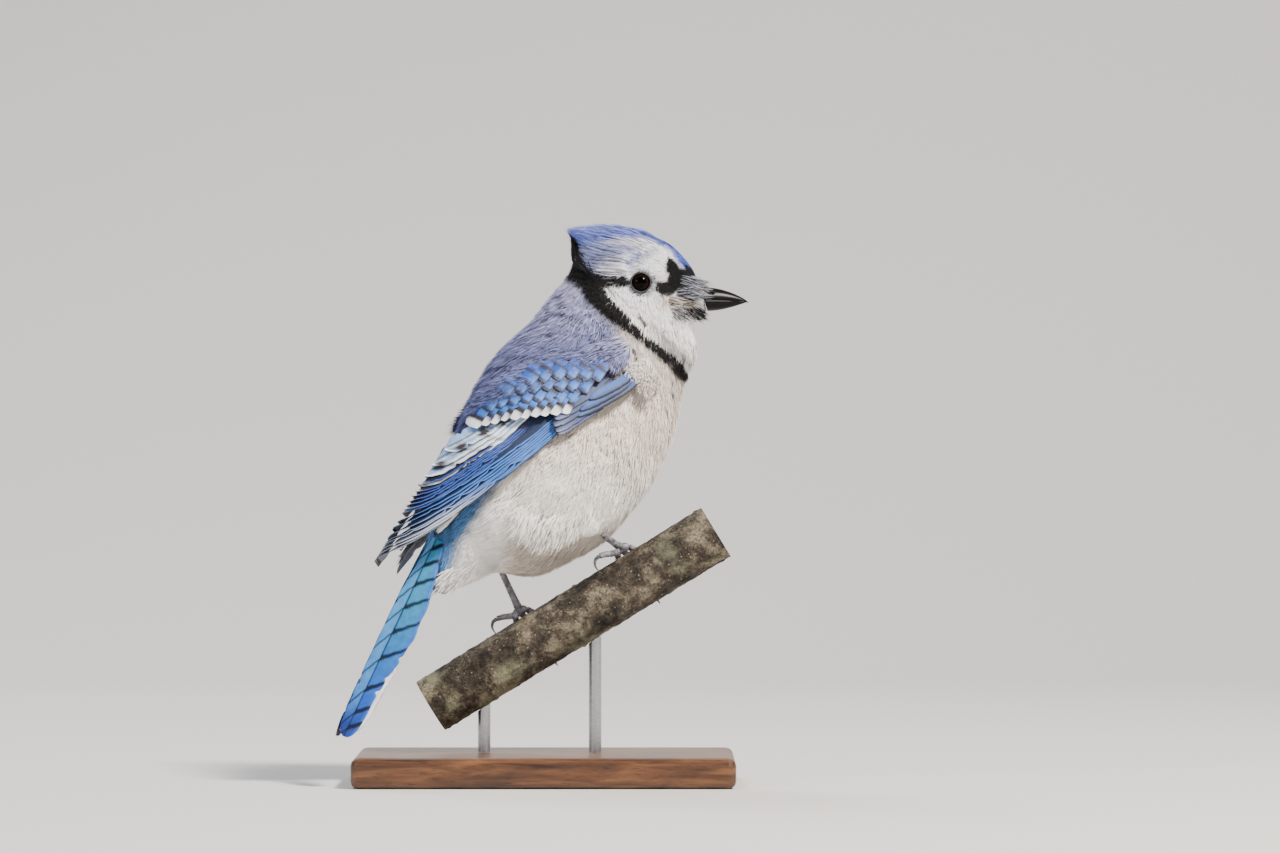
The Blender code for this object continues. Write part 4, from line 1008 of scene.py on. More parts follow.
def tertial_colour(t, share, c, along, up, length):
    """Stripes of white and sky blue, dark at the shaft and the edge, with black spots on the top one."""
    colour = mix(plain(WING_WHITE, c.shape), BLUE_SKY, (c + 0.72) / 0.1)
    colour = mix(colour, WING_WHITE, 0.8 * np.clip((c + 0.35) / 0.1, 0, 1) * (c < -0.05))
    colour = mix(colour, BLUE_SKY, np.clip((c - 0.3) / 0.1, 0, 1))
    colour = mix(colour, INK, 0.85 * np.clip((-0.94 - c) / 0.03, 0, 1))
    colour = mix(colour, INK, 0.8 * np.exp(-((c + 0.02) / 0.09) ** 2))
    colour = mix(colour, UMBER, mottled(along, up))
    spots = barred(along - 1.1 * (up - 16), TERTIAL_SPOTS, 1.1, 0.7)
    on_top = np.clip((up - np.interp(along, TOP_TERTIAL_ALONG, TOP_TERTIAL_UP)) / 0.8, 0, 1)
    colour = mix(colour, INK, 0.95 * spots * on_top)
    colour = mix(colour, UMBER, 0.5 * spots * (c < -0.6))
    return mix(colour, WING_WHITE, np.clip((share - 0.95) / 0.02, 0, 1))


def greater_covert_colour(t, share, c, along, up, length):
    """Blue with dark bars, then a dark grey-brown bar and a broad white tip."""
    left = (1 - share) * length + 0.5 * np.abs(c)
    colour = mix(plain(BLUE, c.shape), BLUE_DEEP, 0.5 * np.clip(c / 0.1, 0, 1))
    colour = mix(colour, INK, 0.85 * barred(left, (9.6, 13.6), 0.6))
    colour = mix(colour, UMBER, barred(left, (5.0,), 1.2, 0.5))
    return mix(colour, WING_WHITE, np.clip((3.9 - left) / 0.4, 0, 1))


def median_covert_colour(t, share, c, along, up, length):
    """A blue square with a lighter edge, framed by a dark grey-brown end and side."""
    left = (1 - share) * length + 0.3 * np.abs(c)
    colour = mix(plain(BLUE, c.shape), BLUE_SKY, 0.35 * np.clip((-0.2 - c) / 0.5, 0, 1))
    colour = mix(colour, BLUE_DEEP, 0.7 * np.clip((c - 0.0) / 0.4, 0, 1))
    colour = mix(colour, BLUE_DEEP, 0.5 * np.clip((left - 3.0) / 2.0, 0, 1))
    colour = mix(colour, UMBER, 0.95 * np.clip((1.7 - left) / 0.3, 0, 1))
    colour = mix(colour, UMBER, 0.95 * barred(left, (5.8, 9.8), 0.8))
    return mix(colour, UMBER, 0.8 * np.clip((-0.9 - c) / 0.04, 0, 1))


def primary_covert_colour(t, share, c, along, up, length):
    """Grey-lavender, worn pale at the end, with a dark tip and edges."""
    left = (1 - share) * length
    colour = mix(plain(SLATE, c.shape), MANTLE_PALE, 0.05 + 0.35 * np.clip((9 - left) / 7, 0, 1) * (c < -0.3))
    colour = mix(colour, INK, 0.85 * np.clip((-0.86 - c) / 0.06, 0, 1))
    colour = mix(colour, INK, 0.7 * np.clip((c - 0.1) / 0.5, 0, 1))
    return mix(colour, INK, 0.85 * np.clip((1.1 - left) / 0.5, 0, 1))


def alula_colour(t, share, c, along, up, length):
    """Slate blue with a black lower edge."""
    colour = mix(plain(SLATE, c.shape), BLUE, 0.45 * np.clip((c + 0.5) / 0.5, 0, 1))
    return mix(colour, INK, 0.95 * np.clip((-0.55 - c) / 0.12, 0, 1))


def flash_colour(t, share, c, along, up, length):
    """White with black borders, low on the flank."""
    colour = plain(WING_WHITE, c.shape)
    colour = mix(colour, INK, np.clip((np.abs(c) - 0.62) / 0.1, 0, 1))
    return mix(colour, INK, np.clip((share - 0.9) / 0.05, 0, 1))


# Tiers from the body outwards. Roots run from the first to the last, tips through a middle one, as
# (along, up) in mm; base is the lift of the first and last upper edge, tilt how much higher the lower
# edge lies.
Tier = namedtuple("Tier", "count roots tips half root_lift base tilt tip_share sharp bow colour")
TIERS = (
    Tier(2, ((86, 1.4), (87, 3.4)), ((108, -3.4), (107, -2.2), (105, -0.8)), 1.6, 0.2, (0.1, 0.3), 0.3,
         0.3, 0.5, 0.3, flash_colour),
    Tier(9, ((28, 4.4), (34, 9.0)), ((132.5, -1.0), (126, 1.8), (112, 6.8)), 3.0, 0.9, (0.4, 1.2), 2.8,
         0.44, 1.1, 0.5, primary_colour),
    Tier(7, ((44, 9.6), (54, 14.0)), ((113, 7.6), (108, 9.8), (101, 12.8)), 3.3, 0.9, (1.2, 1.6), 2.6,
         0.24, 0.7, 0.4, secondary_colour),
    Tier(4, ((50, 14.4), (58, 18.0)), ((101, 13.2), (95, 16.2), (84, 19.0)), 3.7, 1.0, (1.6, 1.9), 2.2,
         0.20, 0.6, 0.3, tertial_colour),
    Tier(5, ((13, 2.6), (17, 7.5)), ((46.5, 1.6), (46, 4.6), (42.5, 8.6)), 2.3, 1.1, (2.9, 3.2), 0.9,
         0.22, 0.5, 0.2, primary_covert_colour),
    Tier(10, ((27.4, 13.3), (57.4, 26.7)), ((41, 7.0), (56, 15.0), (71, 20.4)), 3.0, 1.2, (2.9, 2.7), 1.6,
         0.12, 0.3, 0.2, greater_covert_colour),
    Tier(8, ((25.6, 14.3), (52.1, 27.9)), ((36.5, 9.2), (48.5, 17.2), (63, 22.8)), 2.9, 1.4, (3.5, 3.3), 0.8,
         0.09, 0.25, 0.1, median_covert_colour),
    Tier(7, ((19.1, 14.7), (44.1, 28.7)), ((30, 9.6), (41, 17.6), (55, 23.6)), 2.8, 1.6, (3.9, 3.6), 0.7,
         0.09, 0.25, 0.1, median_covert_colour),
    Tier(6, ((13.0, 15.0), (34.1, 27.0)), ((23.5, 10.8), (33, 17.4), (45, 22.8)), 2.7, 1.8, (4.2, 3.9), 0.6,
         0.09, 0.25, 0.1, median_covert_colour),
    Tier(3, ((3, 1.2), (6, 4.0)), ((36, 2.2), (34, 3.8), (29, 5.4)), 1.8, 1.2, (3.7, 3.9), 0.7,
         0.30, 0.6, 0.3, alula_colour),
)
VANE_RISE = 2.2  # a vane has risen to its full lift after one part in this of its length
VANE_ROW = 1.0  # mm between the rows of points along a vane
VANE_CROWN = 0.06  # mm by which the middle of a vane stands over its edges


def tier_vanes(rng, bed, tier, share, drop, sag):
    """The vanes of one tier as points, outward directions, colours and mm across and along."""
    stretch = wing_stretch(share)
    roots = np.array(tier.roots) * (stretch, share) - (0.0, drop)
    tips = np.array(tier.tips) * (stretch, share) - (0.0, drop)
    for t in np.linspace(0, 1, tier.count):
        root = roots[0] * (1 - t) + roots[1] * t
        tip = tips[0] * (1 - t) * (1 - 2 * t) + tips[1] * 4 * t * (1 - t) + tips[2] * t * (2 * t - 1)
        tip = tip + rng.normal(0, 0.2, 2)
        length = np.linalg.norm(tip - root)
        steps = max(12, int(length / VANE_ROW))
        u = 1 - (1 - np.linspace(0, 1, steps)) ** 1.25
        line = (tip - root) / length
        across = np.array([-line[1], line[0]])
        half = tier.half * rng.uniform(0.95, 1.05)
        width = frayed(rng, u, half * vane_profile(u, tier.tip_share, tier.sharp))
        c = np.broadcast_to(ACROSS, (steps, len(ACROSS)))
        centre = root + (tip - root) * u[:, None] - across * (tier.bow * np.sin(np.pi * u))[:, None]
        place = centre[:, None, :] + c[..., None] * width[:, None, None] * across
        flat_along = place[..., 0] / stretch
        flat_up = (place[..., 1] + drop) / share
        place[..., 1] -= sag * (place[..., 0] / WING_LENGTH) ** 2
        risen = np.minimum(1.0, VANE_RISE * u)[:, None]
        edge = tier.base[0] * (1 - t) + tier.base[1] * t + 0.5 * tier.tilt * (1 - c)
        edge = edge + VANE_CROWN * (1 - c ** 2)
        lift = tier.root_lift + (edge - tier.root_lift) * risen + 0.55 + 0.16 * np.exp(-(c / 0.06) ** 2)
        points, out = bed_point(bed, place[..., 0], place[..., 1], lift)
        grid_u = np.broadcast_to(u[:, None], c.shape)
        colour = tier.colour(t, grid_u, c, flat_along, flat_up, length) * rng.normal(1.0, 0.05)
        yield points, out, colour, c * width[:, None], grid_u * length


def build_wing(name, side, share, drop, sag, seed):
    bed = wing_bed(side)
    rng = np.random.default_rng(seed)
    vanes = VaneSet(sum(tier.count for tier in TIERS))
    for tier in TIERS:
        for made in tier_vanes(rng, bed, tier, share, drop, sag):
            vanes.add(*made)
    dress(vanes.build(f"{name}_vanes"), VANE, "wing_feathers", name)
    return bed


# Tail

TAIL_RIDGE = np.array([-43.6 * MM, 0.0, 101.4 * MM])
TAIL_TIP = np.array([-81.2 * MM, 0.0, 20.9 * MM])
TAIL_ROOF = math.radians(35)
TAIL_BARS = (3.6, 10.3, 20.3, 33.6, 44.9, 55.7, 65.5, 74.0, 81.3)
TAIL_TEAL = linear("#3A93C4")
TAIL_BLUE = linear("#1F62CC")
TAIL_TIP_BLUE = linear("#1E3F9E")
TAIL_INK = linear("#0C101C")
TAIL_SHEEN = linear("#5AA9EC")
TAIL_EDGE = linear("#2F70DC")


def tail_colour(pair, from_tip, side_mm, c):
    """Teal to blue barred feathers, with white corners on the outer ones."""
    colour = mix(plain(TAIL_TIP_BLUE, c.shape), TAIL_BLUE, (from_tip - 4) / 14)
    colour = mix(colour, TAIL_TEAL, (from_tip - 18) / 40)
    colour = mix(colour, TAIL_SHEEN, 0.6 * np.clip(-side_mm / 0.5, 0, 1) * np.clip((from_tip - 6) / 12, 0, 1))
    colour = mix(colour, TAIL_EDGE, 0.7 * np.clip((c - 0.72) / 0.2, 0, 1))
    thick = np.where(side_mm > 0, 1.2 - 0.05 * side_mm, 0.62)
    slant = np.where(side_mm > 0, 0.72, 1.45)
    position = from_tip - slant * side_mm + 0.14 * np.sin(0.9 * side_mm + from_tip)
    colour = mix(colour, TAIL_INK, 0.97 * barred(position, TAIL_BARS, thick, 0.3))
    colour = mix(colour, TAIL_INK, 0.95 * np.exp(-(side_mm / 0.3) ** 2))
    white = 0.0 if pair == 0 else 40.0
    return mix(colour, WING_WHITE, np.clip((white - from_tip) / 1.5, 0, 1) * (white > 0))


# Outer web of a tail feather by share of its length, in mm
TAIL_WEB_AT = (0.0, 0.25, 0.38, 0.48, 0.56, 0.64, 0.72, 0.8, 0.9, 1.0)
TAIL_WEB = (8.5, 9.6, 10.2, 10.4, 9.4, 7.8, 6.4, 5.6, 5.0, 4.8)
WHITE_EDGE = 2.9  # mm by which the white corners of the outer pairs reach past the inner pair
TAIL_SHAFT = 6.0  # mm from the ridge of the tail out to the shafts of its inner pair
TAIL_STACK = 0.42  # mm from each pair down to the next
TAIL_STEP = 2.4  # mm by which each pair is shorter than the one above it


def build_tail():
    root, tip = TAIL_RIDGE.copy(), TAIL_TIP.copy()
    root[1], tip[1] = body_y(root[0]), body_y(tip[0])
    length = np.linalg.norm(tip - root)
    along = (tip - root) / length
    right = np.array([math.sin(BODY_TURN), -math.cos(BODY_TURN), 0.0])
    back = np.cross(along, right)
    back *= math.copysign(1.0, back[2])
    root = root + 1.3 * MM * back
    tip = tip + 1.3 * MM * back
    rng = np.random.default_rng(31)
    vanes = VaneSet(12)
    for pair in range(6):
        for side in (1, -1):
            slope = math.cos(TAIL_ROOF) * right * side - math.sin(TAIL_ROOF) * back
            out = math.cos(TAIL_ROOF) * back + math.sin(TAIL_ROOF) * right * side
            shaft = (TAIL_SHAFT + 0.45 * pair) * MM
            down = out * TAIL_STACK * MM * pair
            start = root + along * 4 * MM + slope * (3.8 * MM + 0.35 * shaft) - down
            end = root + along * (length - TAIL_STEP * MM * pair) + slope * shaft - down
            reach = np.linalg.norm(end - start)
            line = (end - start) / reach
            steps, cols = (200, 25) if pair == 0 else (60, 13)
            u = 1 - (1 - np.linspace(0, 1, steps)) ** 1.15
            c = np.broadcast_to(np.linspace(-1, 1, cols), (steps, cols))
            profile = vane_profile(u, 0.09)
            inner = frayed(rng, u, np.interp(u, (0, 0.7, 1), (5.6, 5.6, 4.6)) * MM * profile)
            web = np.interp(u, TAIL_WEB_AT, TAIL_WEB)
            if pair > 0:
                web = web - 1.2 - 0.45 * pair + WHITE_EDGE * np.clip((u - 0.66) / 0.08, 0, 1)
            outer = frayed(rng, u, web * MM * profile)
            across = np.where(c < 0, c * inner[:, None], c * outer[:, None])
            lift = 0.5 * MM * (1 - c ** 2) + 0.12 * MM * np.exp(-(across / (0.25 * MM)) ** 2)
            centre = start + line * (u * reach)[:, None]
            points = centre[:, None, :] + slope * across[..., None] + out * lift[..., None]
            from_tip = np.broadcast_to((1 - u)[:, None] * reach / MM, c.shape)
            colour = tail_colour(pair, from_tip, across / MM, c) * rng.normal(1.0, 0.03)
            outs = np.broadcast_to(out, points.shape)
            if side < 0:
                points, colour, across = points[:, ::-1], colour[:, ::-1], -across[:, ::-1]
            vanes.add(points, outs, colour, across / MM, np.broadcast_to((u * reach / MM)[:, None], c.shape))
    dress(vanes.build("tail_vanes"), VANE, "tail_feathers", "tail")


# Perch

BARK_RADIUS = 11.15  # mm before ridges and creases
BARK_RINGS = 240
BARK_SIDES = 132
CUT_RINGS = 13
# Knots as mm along the branch, angle round it and height in mm, and twig rings as place, height and width
KNOTS = ((-23, 2.2, 2.2), (51, 3.95, 1.8), (87, 4.9, 1.8))
TWIG_RINGS = ((33, 0.35, 1.2), (-8, 0.3, 1.0))


def bark_radius(a, t):
    """Radius of the bark in mm, by mm along the branch and angle round it."""
    across, up = math.cos(t), math.sin(t)
    rough = noise.fractal(Vector((a * 0.11, 1.3 * across, 1.3 * up)) * 2.2, 0.9, 2.1, 5)
    crease = abs(noise.noise(Vector((a * 0.05, 2.6 * across, 2.6 * up))))
    bump = max(0.0, noise.noise(Vector((a * 0.45 + 9, 5 * across, 5 * up))) - 0.35)
    swell = sum(
        height * math.exp(-(math.remainder(t - turn, 2 * math.pi) / 0.35) ** 2 - ((a - at) / 8) ** 2)
        for at, turn, height in KNOTS
    )
    ring = sum(height * math.exp(-((a - at) / width) ** 2) for at, height, width in TWIG_RINGS)
    return BARK_RADIUS + 0.30 * rough - 0.35 * max(0.0, 0.10 - crease) * 8 + 1.1 * bump + swell + ring


def build_perch():
    along = np.linspace(BRANCH_START, BRANCH_END, BARK_RINGS)
    turn = 2 * np.pi * np.arange(BARK_SIDES) / BARK_SIDES
    radius = np.array([[bark_radius(a, t) for t in turn] for a in along / MM])
    for foot in FOOT_ALONG.values():
        near = np.exp(-(((along - foot) / (9 * MM)) ** 2))[:, None]
        radius = radius * (1 - near) + np.minimum(radius, BRANCH_RADIUS / MM) * near
    grid_a, grid_t = np.meshgrid(along, turn, indexing="ij")
    verts = branch_point(grid_a, grid_t, radius * MM).reshape(-1, 3)
    bark = mesh_object("perch_bark", verts, ring_tris(BARK_RINGS, BARK_SIDES, caps=False)[:, ::-1])
    dress(bark, bark_material(), "bark", "perch_branch")
    wood = cut_wood_material()
    for label, end in (("low", 0), ("high", -1)):
        rings = [branch_point(along[end], turn, radius[end] * share * MM)
                 for share in np.linspace(1, 0, CUT_RINGS + 1)[:-1]]
        points = np.concatenate(rings + [branch_point([along[end]], [0.0], [0.0])])
        last, middle = (CUT_RINGS - 1) * BARK_SIDES, CUT_RINGS * BARK_SIDES
        fan = [(last + k, last + (k + 1) % BARK_SIDES, middle) for k in range(BARK_SIDES)]
        tris = np.concatenate([ring_tris(CUT_RINGS, BARK_SIDES, caps=False), fan])
        dress(mesh_object(f"perch_cut_{label}", points, tris if end else tris[:, ::-1]), wood, "bark")


# Finishes


MULTIPLY = {"data_type": "RGBA", "blend_type": "MULTIPLY"}


def add(tree, kind, values=None, links=None, *stops, **settings):
    """Add a node with its settings, its sockets' values and links, and the stops of a colour ramp."""
    node = tree.nodes.new("ShaderNode" + kind)
    for name, value in settings.items():
        setattr(node, name, value)
    for name, value in (values or {}).items():
        node.inputs[name].default_value = value
    for name, output in (links or {}).items():
        tree.links.new(output, node.inputs[name])
    if stops:
        elements = node.color_ramp.elements
        while len(elements) < len(stops):
            elements.new(1.0)
        for element, (position, colour) in zip(elements, stops):
            element.position = position
            element.color = (*colour, 1.0)
    return node


def new_finish(name, **sockets):
    """A material with its shader's constant values set."""
    material = bpy.data.materials.new(name)
    material.use_nodes = True
    shader = material.node_tree.nodes["Principled BSDF"]
    for socket, value in sockets.items():
        shader.inputs[socket.replace("_", " ")].default_value = value
    return material, material.node_tree, shader


def grey(value):
    return np.array([value] * 3)


def plumage_material():
    """Keratin barbs with loose tips: matt, with a faint sheen where they turn from the light."""
    material, tree, shader = new_finish(
        "soft_plumage", Roughness=0.75, IOR=1.54, Specular_IOR_Level=0.25,
        Sheen_Weight=0.03, Sheen_Roughness=0.5,
    )
    mark = add(tree, "Attribute", attribute_name="Mark")
    place = add(tree, "TexCoord").outputs["Object"]
    # Clumps of feathers about 6 mm across, each a little lighter or darker
    clumps = add(tree, "TexNoise", {"Scale": 1 / (6.25 * MM), "Detail": 3.0}, {"Vector": place})
    tone = add(tree, "ValToRGB", {}, {"Fac": clumps.outputs["Fac"]}, (0.3, grey(0.90)), (0.7, grey(1.08)))
    tinted = add(tree, "Mix", {"Factor": 1.0},
                 {"A": mark.outputs["Color"], "B": tone.outputs["Color"]}, **MULTIPLY)
    tree.links.new(tinted.outputs["Result"], shader.inputs["Base Color"])
    return material


def skin_material():
    """Down close to the skin, seen only in the gaps between feathers: matt and in shadow."""
    material, tree, shader = new_finish("down_on_skin", Roughness=0.9, IOR=1.54)
    mark = add(tree, "Attribute", attribute_name="Mark")
    place = add(tree, "TexCoord").outputs["Object"]
    # Tufts of down about 1 mm across
    tufts = add(tree, "TexNoise", {"Scale": 1 / (1.111 * MM), "Detail": 4.0}, {"Vector": place})
    tone = add(tree, "ValToRGB", {}, {"Fac": tufts.outputs["Fac"]}, (0.3, grey(0.6)), (0.7, grey(1.0)))
    tinted = add(tree, "Mix", {"Factor": 1.0},
                 {"A": mark.outputs["Color"], "B": tone.outputs["Color"]}, **MULTIPLY)
    tree.links.new(tinted.outputs["Result"], shader.inputs["Base Color"])
    bump = add(tree, "Bump", {"Strength": 0.6, "Distance": 0.3 * MM}, {"Height": tufts.outputs["Fac"]})
    tree.links.new(bump.outputs["Normal"], shader.inputs["Normal"])
    return material


BARB_PITCH = 0.7  # mm between the barbs of a vane: real ones lie half as far apart, too fine to show
BARB_SLANT = 1.1  # mm that a barb runs towards the tip for each mm away from the shaft


def vane_material():
    """Flight and tail feathers: zipped barbs in fine slanted lines, with a silky gloss along them."""
    material, tree, shader = new_finish("zipped_vane", Roughness=0.5, IOR=1.54, Specular_IOR_Level=0.3)
    mark = add(tree, "Attribute", attribute_name="Mark")
    sheet = add(tree, "UVMap", uv_map="Vane")
    split = add(tree, "SeparateXYZ", links={"Vector": sheet.outputs["UV"]})
    outward = add(tree, "Math", links={0: split.outputs["X"]}, operation="ABSOLUTE")
    slant = add(tree, "Math", {1: -BARB_SLANT}, {0: outward.outputs["Value"]}, operation="MULTIPLY")
    line = add(tree, "Math", links={0: split.outputs["Y"], 1: slant.outputs["Value"]}, operation="ADD")
    pitch = add(tree, "Math", {1: 2 * math.pi / BARB_PITCH}, {0: line.outputs["Value"]}, operation="MULTIPLY")
    wave = add(tree, "Math", links={0: pitch.outputs["Value"]}, operation="SINE")
    place = add(tree, "TexCoord").outputs["Object"]
    # Worn and fresh spots about 3 mm across
    wear = add(tree, "TexNoise", {"Scale": 1 / (2.857 * MM), "Detail": 4.0}, {"Vector": place})
    tone = add(tree, "ValToRGB", {}, {"Fac": wear.outputs["Fac"]}, (0.3, grey(0.82)), (0.7, grey(1.1)))
    tinted = add(tree, "Mix", {"Factor": 1.0},
                 {"A": mark.outputs["Color"], "B": tone.outputs["Color"]}, **MULTIPLY)
    tree.links.new(tinted.outputs["Result"], shader.inputs["Base Color"])
    bump = add(tree, "Bump", {"Strength": 0.35, "Distance": 0.12 * MM}, {"Height": wave.outputs["Value"]})
    tree.links.new(bump.outputs["Normal"], shader.inputs["Normal"])
    return material


def eye_material():
    """Wet cornea over a dark brown iris and black pupil: so smooth that it gives a sharp catchlight."""
    material, tree, shader = new_finish("wet_cornea", Roughness=0.03, IOR=1.376, Specular_IOR_Level=0.1)
    mark = add(tree, "Attribute", attribute_name="Mark")
    place = add(tree, "TexCoord").outputs["Object"]
    # Fibres of the iris, in patches about 1 mm across
    fibres = add(tree, "TexNoise", {"Scale": 1 / (1.111 * MM), "Detail": 3.0}, {"Vector": place})
    # Pupil, iris and dark rim, by share of the half turn from the front of the ball to its back
    rings = add(tree, "ValToRGB", {}, {"Fac": mark.outputs["Fac"]},
                (0.0, linear("#010101")), (0.155, linear("#010101")), (0.19, linear("#180B06")),
                (0.29, linear("#120804")), (0.34, linear("#030202")))
    tone = add(tree, "ValToRGB", {}, {"Fac": fibres.outputs["Fac"]}, (0.35, grey(0.6)), (0.65, grey(1.3)))
    tinted = add(tree, "Mix", {"Factor": 1.0},
                 {"A": rings.outputs["Color"], "B": tone.outputs["Color"]}, **MULTIPLY)
    tree.links.new(tinted.outputs["Result"], shader.inputs["Base Color"])
    return material


def lid_material():
    """Bare beaded margin of the lids: dark skin with a slight moist gloss."""
    material, tree, shader = new_finish("lid_skin", Roughness=0.4, IOR=1.45)
    place = add(tree, "TexCoord").outputs["Object"]
    # Folds of the skin, 0.4 mm apart
    grain = add(tree, "TexNoise", {"Scale": 1 / (0.4 * MM)}, {"Vector": place})
    tint = add(tree, "ValToRGB", {}, {"Fac": grain.outputs["Fac"]},
               (0.3, linear("#1B1C20")), (0.7, linear("#44464E")))
    tree.links.new(tint.outputs["Color"], shader.inputs["Base Color"])
    return material


def bill_material():
    """Keratin of the bill, polished by wear: near black, with paler streaks along it and a soft gleam."""
    material, tree, shader = new_finish("bill_keratin", Roughness=0.3, IOR=1.54, Specular_IOR_Level=0.12)
    place = add(tree, "TexCoord").outputs["Object"]
    stretch = add(tree, "Mapping", {"Scale": (0.25, 1.0, 1.0)}, {"Vector": place})
    # Streaks about 1 mm wide and four times as long
    grain = add(tree, "TexNoise", {"Scale": 1 / (1.111 * MM), "Detail": 5.0},
                {"Vector": stretch.outputs["Vector"]})
    tint = add(tree, "ValToRGB", {}, {"Fac": grain.outputs["Fac"]},
               (0.25, linear("#030304")), (0.75, linear("#0D0E10")))
    tree.links.new(tint.outputs["Color"], shader.inputs["Base Color"])
    bump = add(tree, "Bump", {"Strength": 0.15, "Distance": 0.1 * MM}, {"Height": grain.outputs["Fac"]})
    tree.links.new(bump.outputs["Normal"], shader.inputs["Normal"])
    return material


def claw_material():
    """Curved keratin claws, worn smooth on bark: dark grey, cloudy and glossy."""
    material, tree, shader = new_finish("claw_keratin", Roughness=0.25, IOR=1.54)
    place = add(tree, "TexCoord").outputs["Object"]
    # Clouds in the horn, 0.7 mm across
    grain = add(tree, "TexNoise", {"Scale": 1 / (0.7143 * MM), "Detail": 3.0}, {"Vector": place})
    tint = add(tree, "ValToRGB", {}, {"Fac": grain.outputs["Fac"]},
               (0.3, linear("#2A2A2E")), (0.7, linear("#6A6A72")))
    tree.links.new(tint.outputs["Color"], shader.inputs["Base Color"])
    return material


def scale_material():
    """Leathery scutes of legs and toes: grey-black, dusty in the creases, with a low gloss on each plate."""
    material, tree, shader = new_finish("leg_scutes", Roughness=0.48, IOR=1.5)
    place = add(tree, "TexCoord").outputs["Object"]
    # Small plates between the scutes, 0.8 mm across, and dust in patches of 2 mm
    plates = add(tree, "TexVoronoi", {"Scale": 1 / (0.7692 * MM)}, {"Vector": place})
    dust = add(tree, "TexNoise", {"Scale": 1 / (2 * MM), "Detail": 4.0}, {"Vector": place})
    tint = add(tree, "ValToRGB", {}, {"Fac": dust.outputs["Fac"]},
               (0.3, linear("#38373D")), (0.7, linear("#8F8C95")))
    tree.links.new(tint.outputs["Color"], shader.inputs["Base Color"])
    bump = add(tree, "Bump", {"Strength": 0.5, "Distance": 0.15 * MM},
               {"Height": plates.outputs["Distance"]})
    tree.links.new(bump.outputs["Normal"], shader.inputs["Normal"])
    return material


def bark_material():
    """Weathered bark: grey-brown and rough, with pale corky dots and a dusting of grey-green lichen."""
    material, tree, shader = new_finish("weathered_bark", Roughness=0.88, IOR=1.45)
    place = add(tree, "TexCoord").outputs["Object"]
    # Ridges about 11 mm apart, grit of 1 mm, corky dots 2.4 mm apart and lichen in patches of 22 mm
    broad = add(tree, "TexNoise", {"Scale": 1 / (11.11 * MM), "Detail": 6.0, "Roughness": 0.65},
                {"Vector": place})
    fine = add(tree, "TexNoise", {"Scale": 1 / (1.111 * MM), "Detail": 6.0, "Roughness": 0.7},
               {"Vector": place})
    dots = add(tree, "TexVoronoi", {"Scale": 1 / (2.381 * MM), "Randomness": 1.0}, {"Vector": place})
    patches = add(tree, "TexNoise", {"Scale": 1 / (22.22 * MM), "Detail": 5.0}, {"Vector": place})
    wood = add(tree, "ValToRGB", {}, {"Fac": broad.outputs["Fac"]},
               (0.36, linear("#15110D")), (0.5, linear("#4E453A")), (0.62, linear("#8A7F6B")))
    grit = add(tree, "ValToRGB", {}, {"Fac": fine.outputs["Fac"]}, (0.36, grey(0.3)), (0.66, grey(1.5)))
    base = add(tree, "Mix", {"Factor": 1.0}, {"A": wood.outputs["Color"], "B": grit.outputs["Color"]},
               **MULTIPLY)
    speck = add(tree, "ValToRGB", {}, {"Fac": dots.outputs["Distance"]}, (0.08, grey(0.8)), (0.16, grey(0.0)))
    pale = add(tree, "Mix", {"B": (*linear("#A79C86"), 1.0)},
               {"A": base.outputs["Result"], "Factor": speck.outputs["Color"]}, data_type="RGBA")
    crust = add(tree, "ValToRGB", {}, {"Fac": patches.outputs["Fac"]},
                (0.54, grey(0.0)), (0.66, grey(0.75)))
    lichen = add(tree, "Mix", {"B": (*linear("#8B8F72"), 1.0)},
                 {"A": pale.outputs["Result"], "Factor": crust.outputs["Color"]}, data_type="RGBA")
    tree.links.new(lichen.outputs["Result"], shader.inputs["Base Color"])
    rise = add(tree, "Math", {1: 0.5}, {0: broad.outputs["Fac"], 2: fine.outputs["Fac"]},
               operation="MULTIPLY_ADD")
    bump = add(tree, "Bump", {"Strength": 1.0, "Distance": 1.3 * MM}, {"Height": rise.outputs["Value"]})
    tree.links.new(bump.outputs["Normal"], shader.inputs["Normal"])
    return material


def cut_wood_material():
    """Sawn end grain: pale dry wood with yearly rings, drawn wider apart than real ones so that they show."""
    material, tree, shader = new_finish("sawn_end_grain", Roughness=0.75, IOR=1.5)
    place = add(tree, "TexCoord").outputs["Object"]
    axis = add(tree, "Mapping", {"Location": (-BRANCH_X, 0.0, -BRANCH_Z)}, {"Vector": place},
               vector_type="POINT")
    turned = add(tree, "VectorRotate", {"Axis": (0.0, 1.0, 0.0), "Angle": BRANCH_SLOPE},
                 {"Vector": axis.outputs["Vector"]}, rotation_type="AXIS_ANGLE")
    # Yearly rings 2.6 mm apart; a wave of scale 1 has its rings a tenth of pi apart
    wobble = add(tree, "TexWave", {"Scale": 0.1 * math.pi / (2.618 * MM), "Distortion": 1.2, "Detail": 3.0},
                 {"Vector": turned.outputs["Vector"]}, wave_type="RINGS", rings_direction="X")
    tint = add(tree, "ValToRGB", {}, {"Fac": wobble.outputs["Fac"]},
               (0.2, linear("#A98A62")), (0.8, linear("#D0B88F")))
    tree.links.new(tint.outputs["Color"], shader.inputs["Base Color"])
    return material


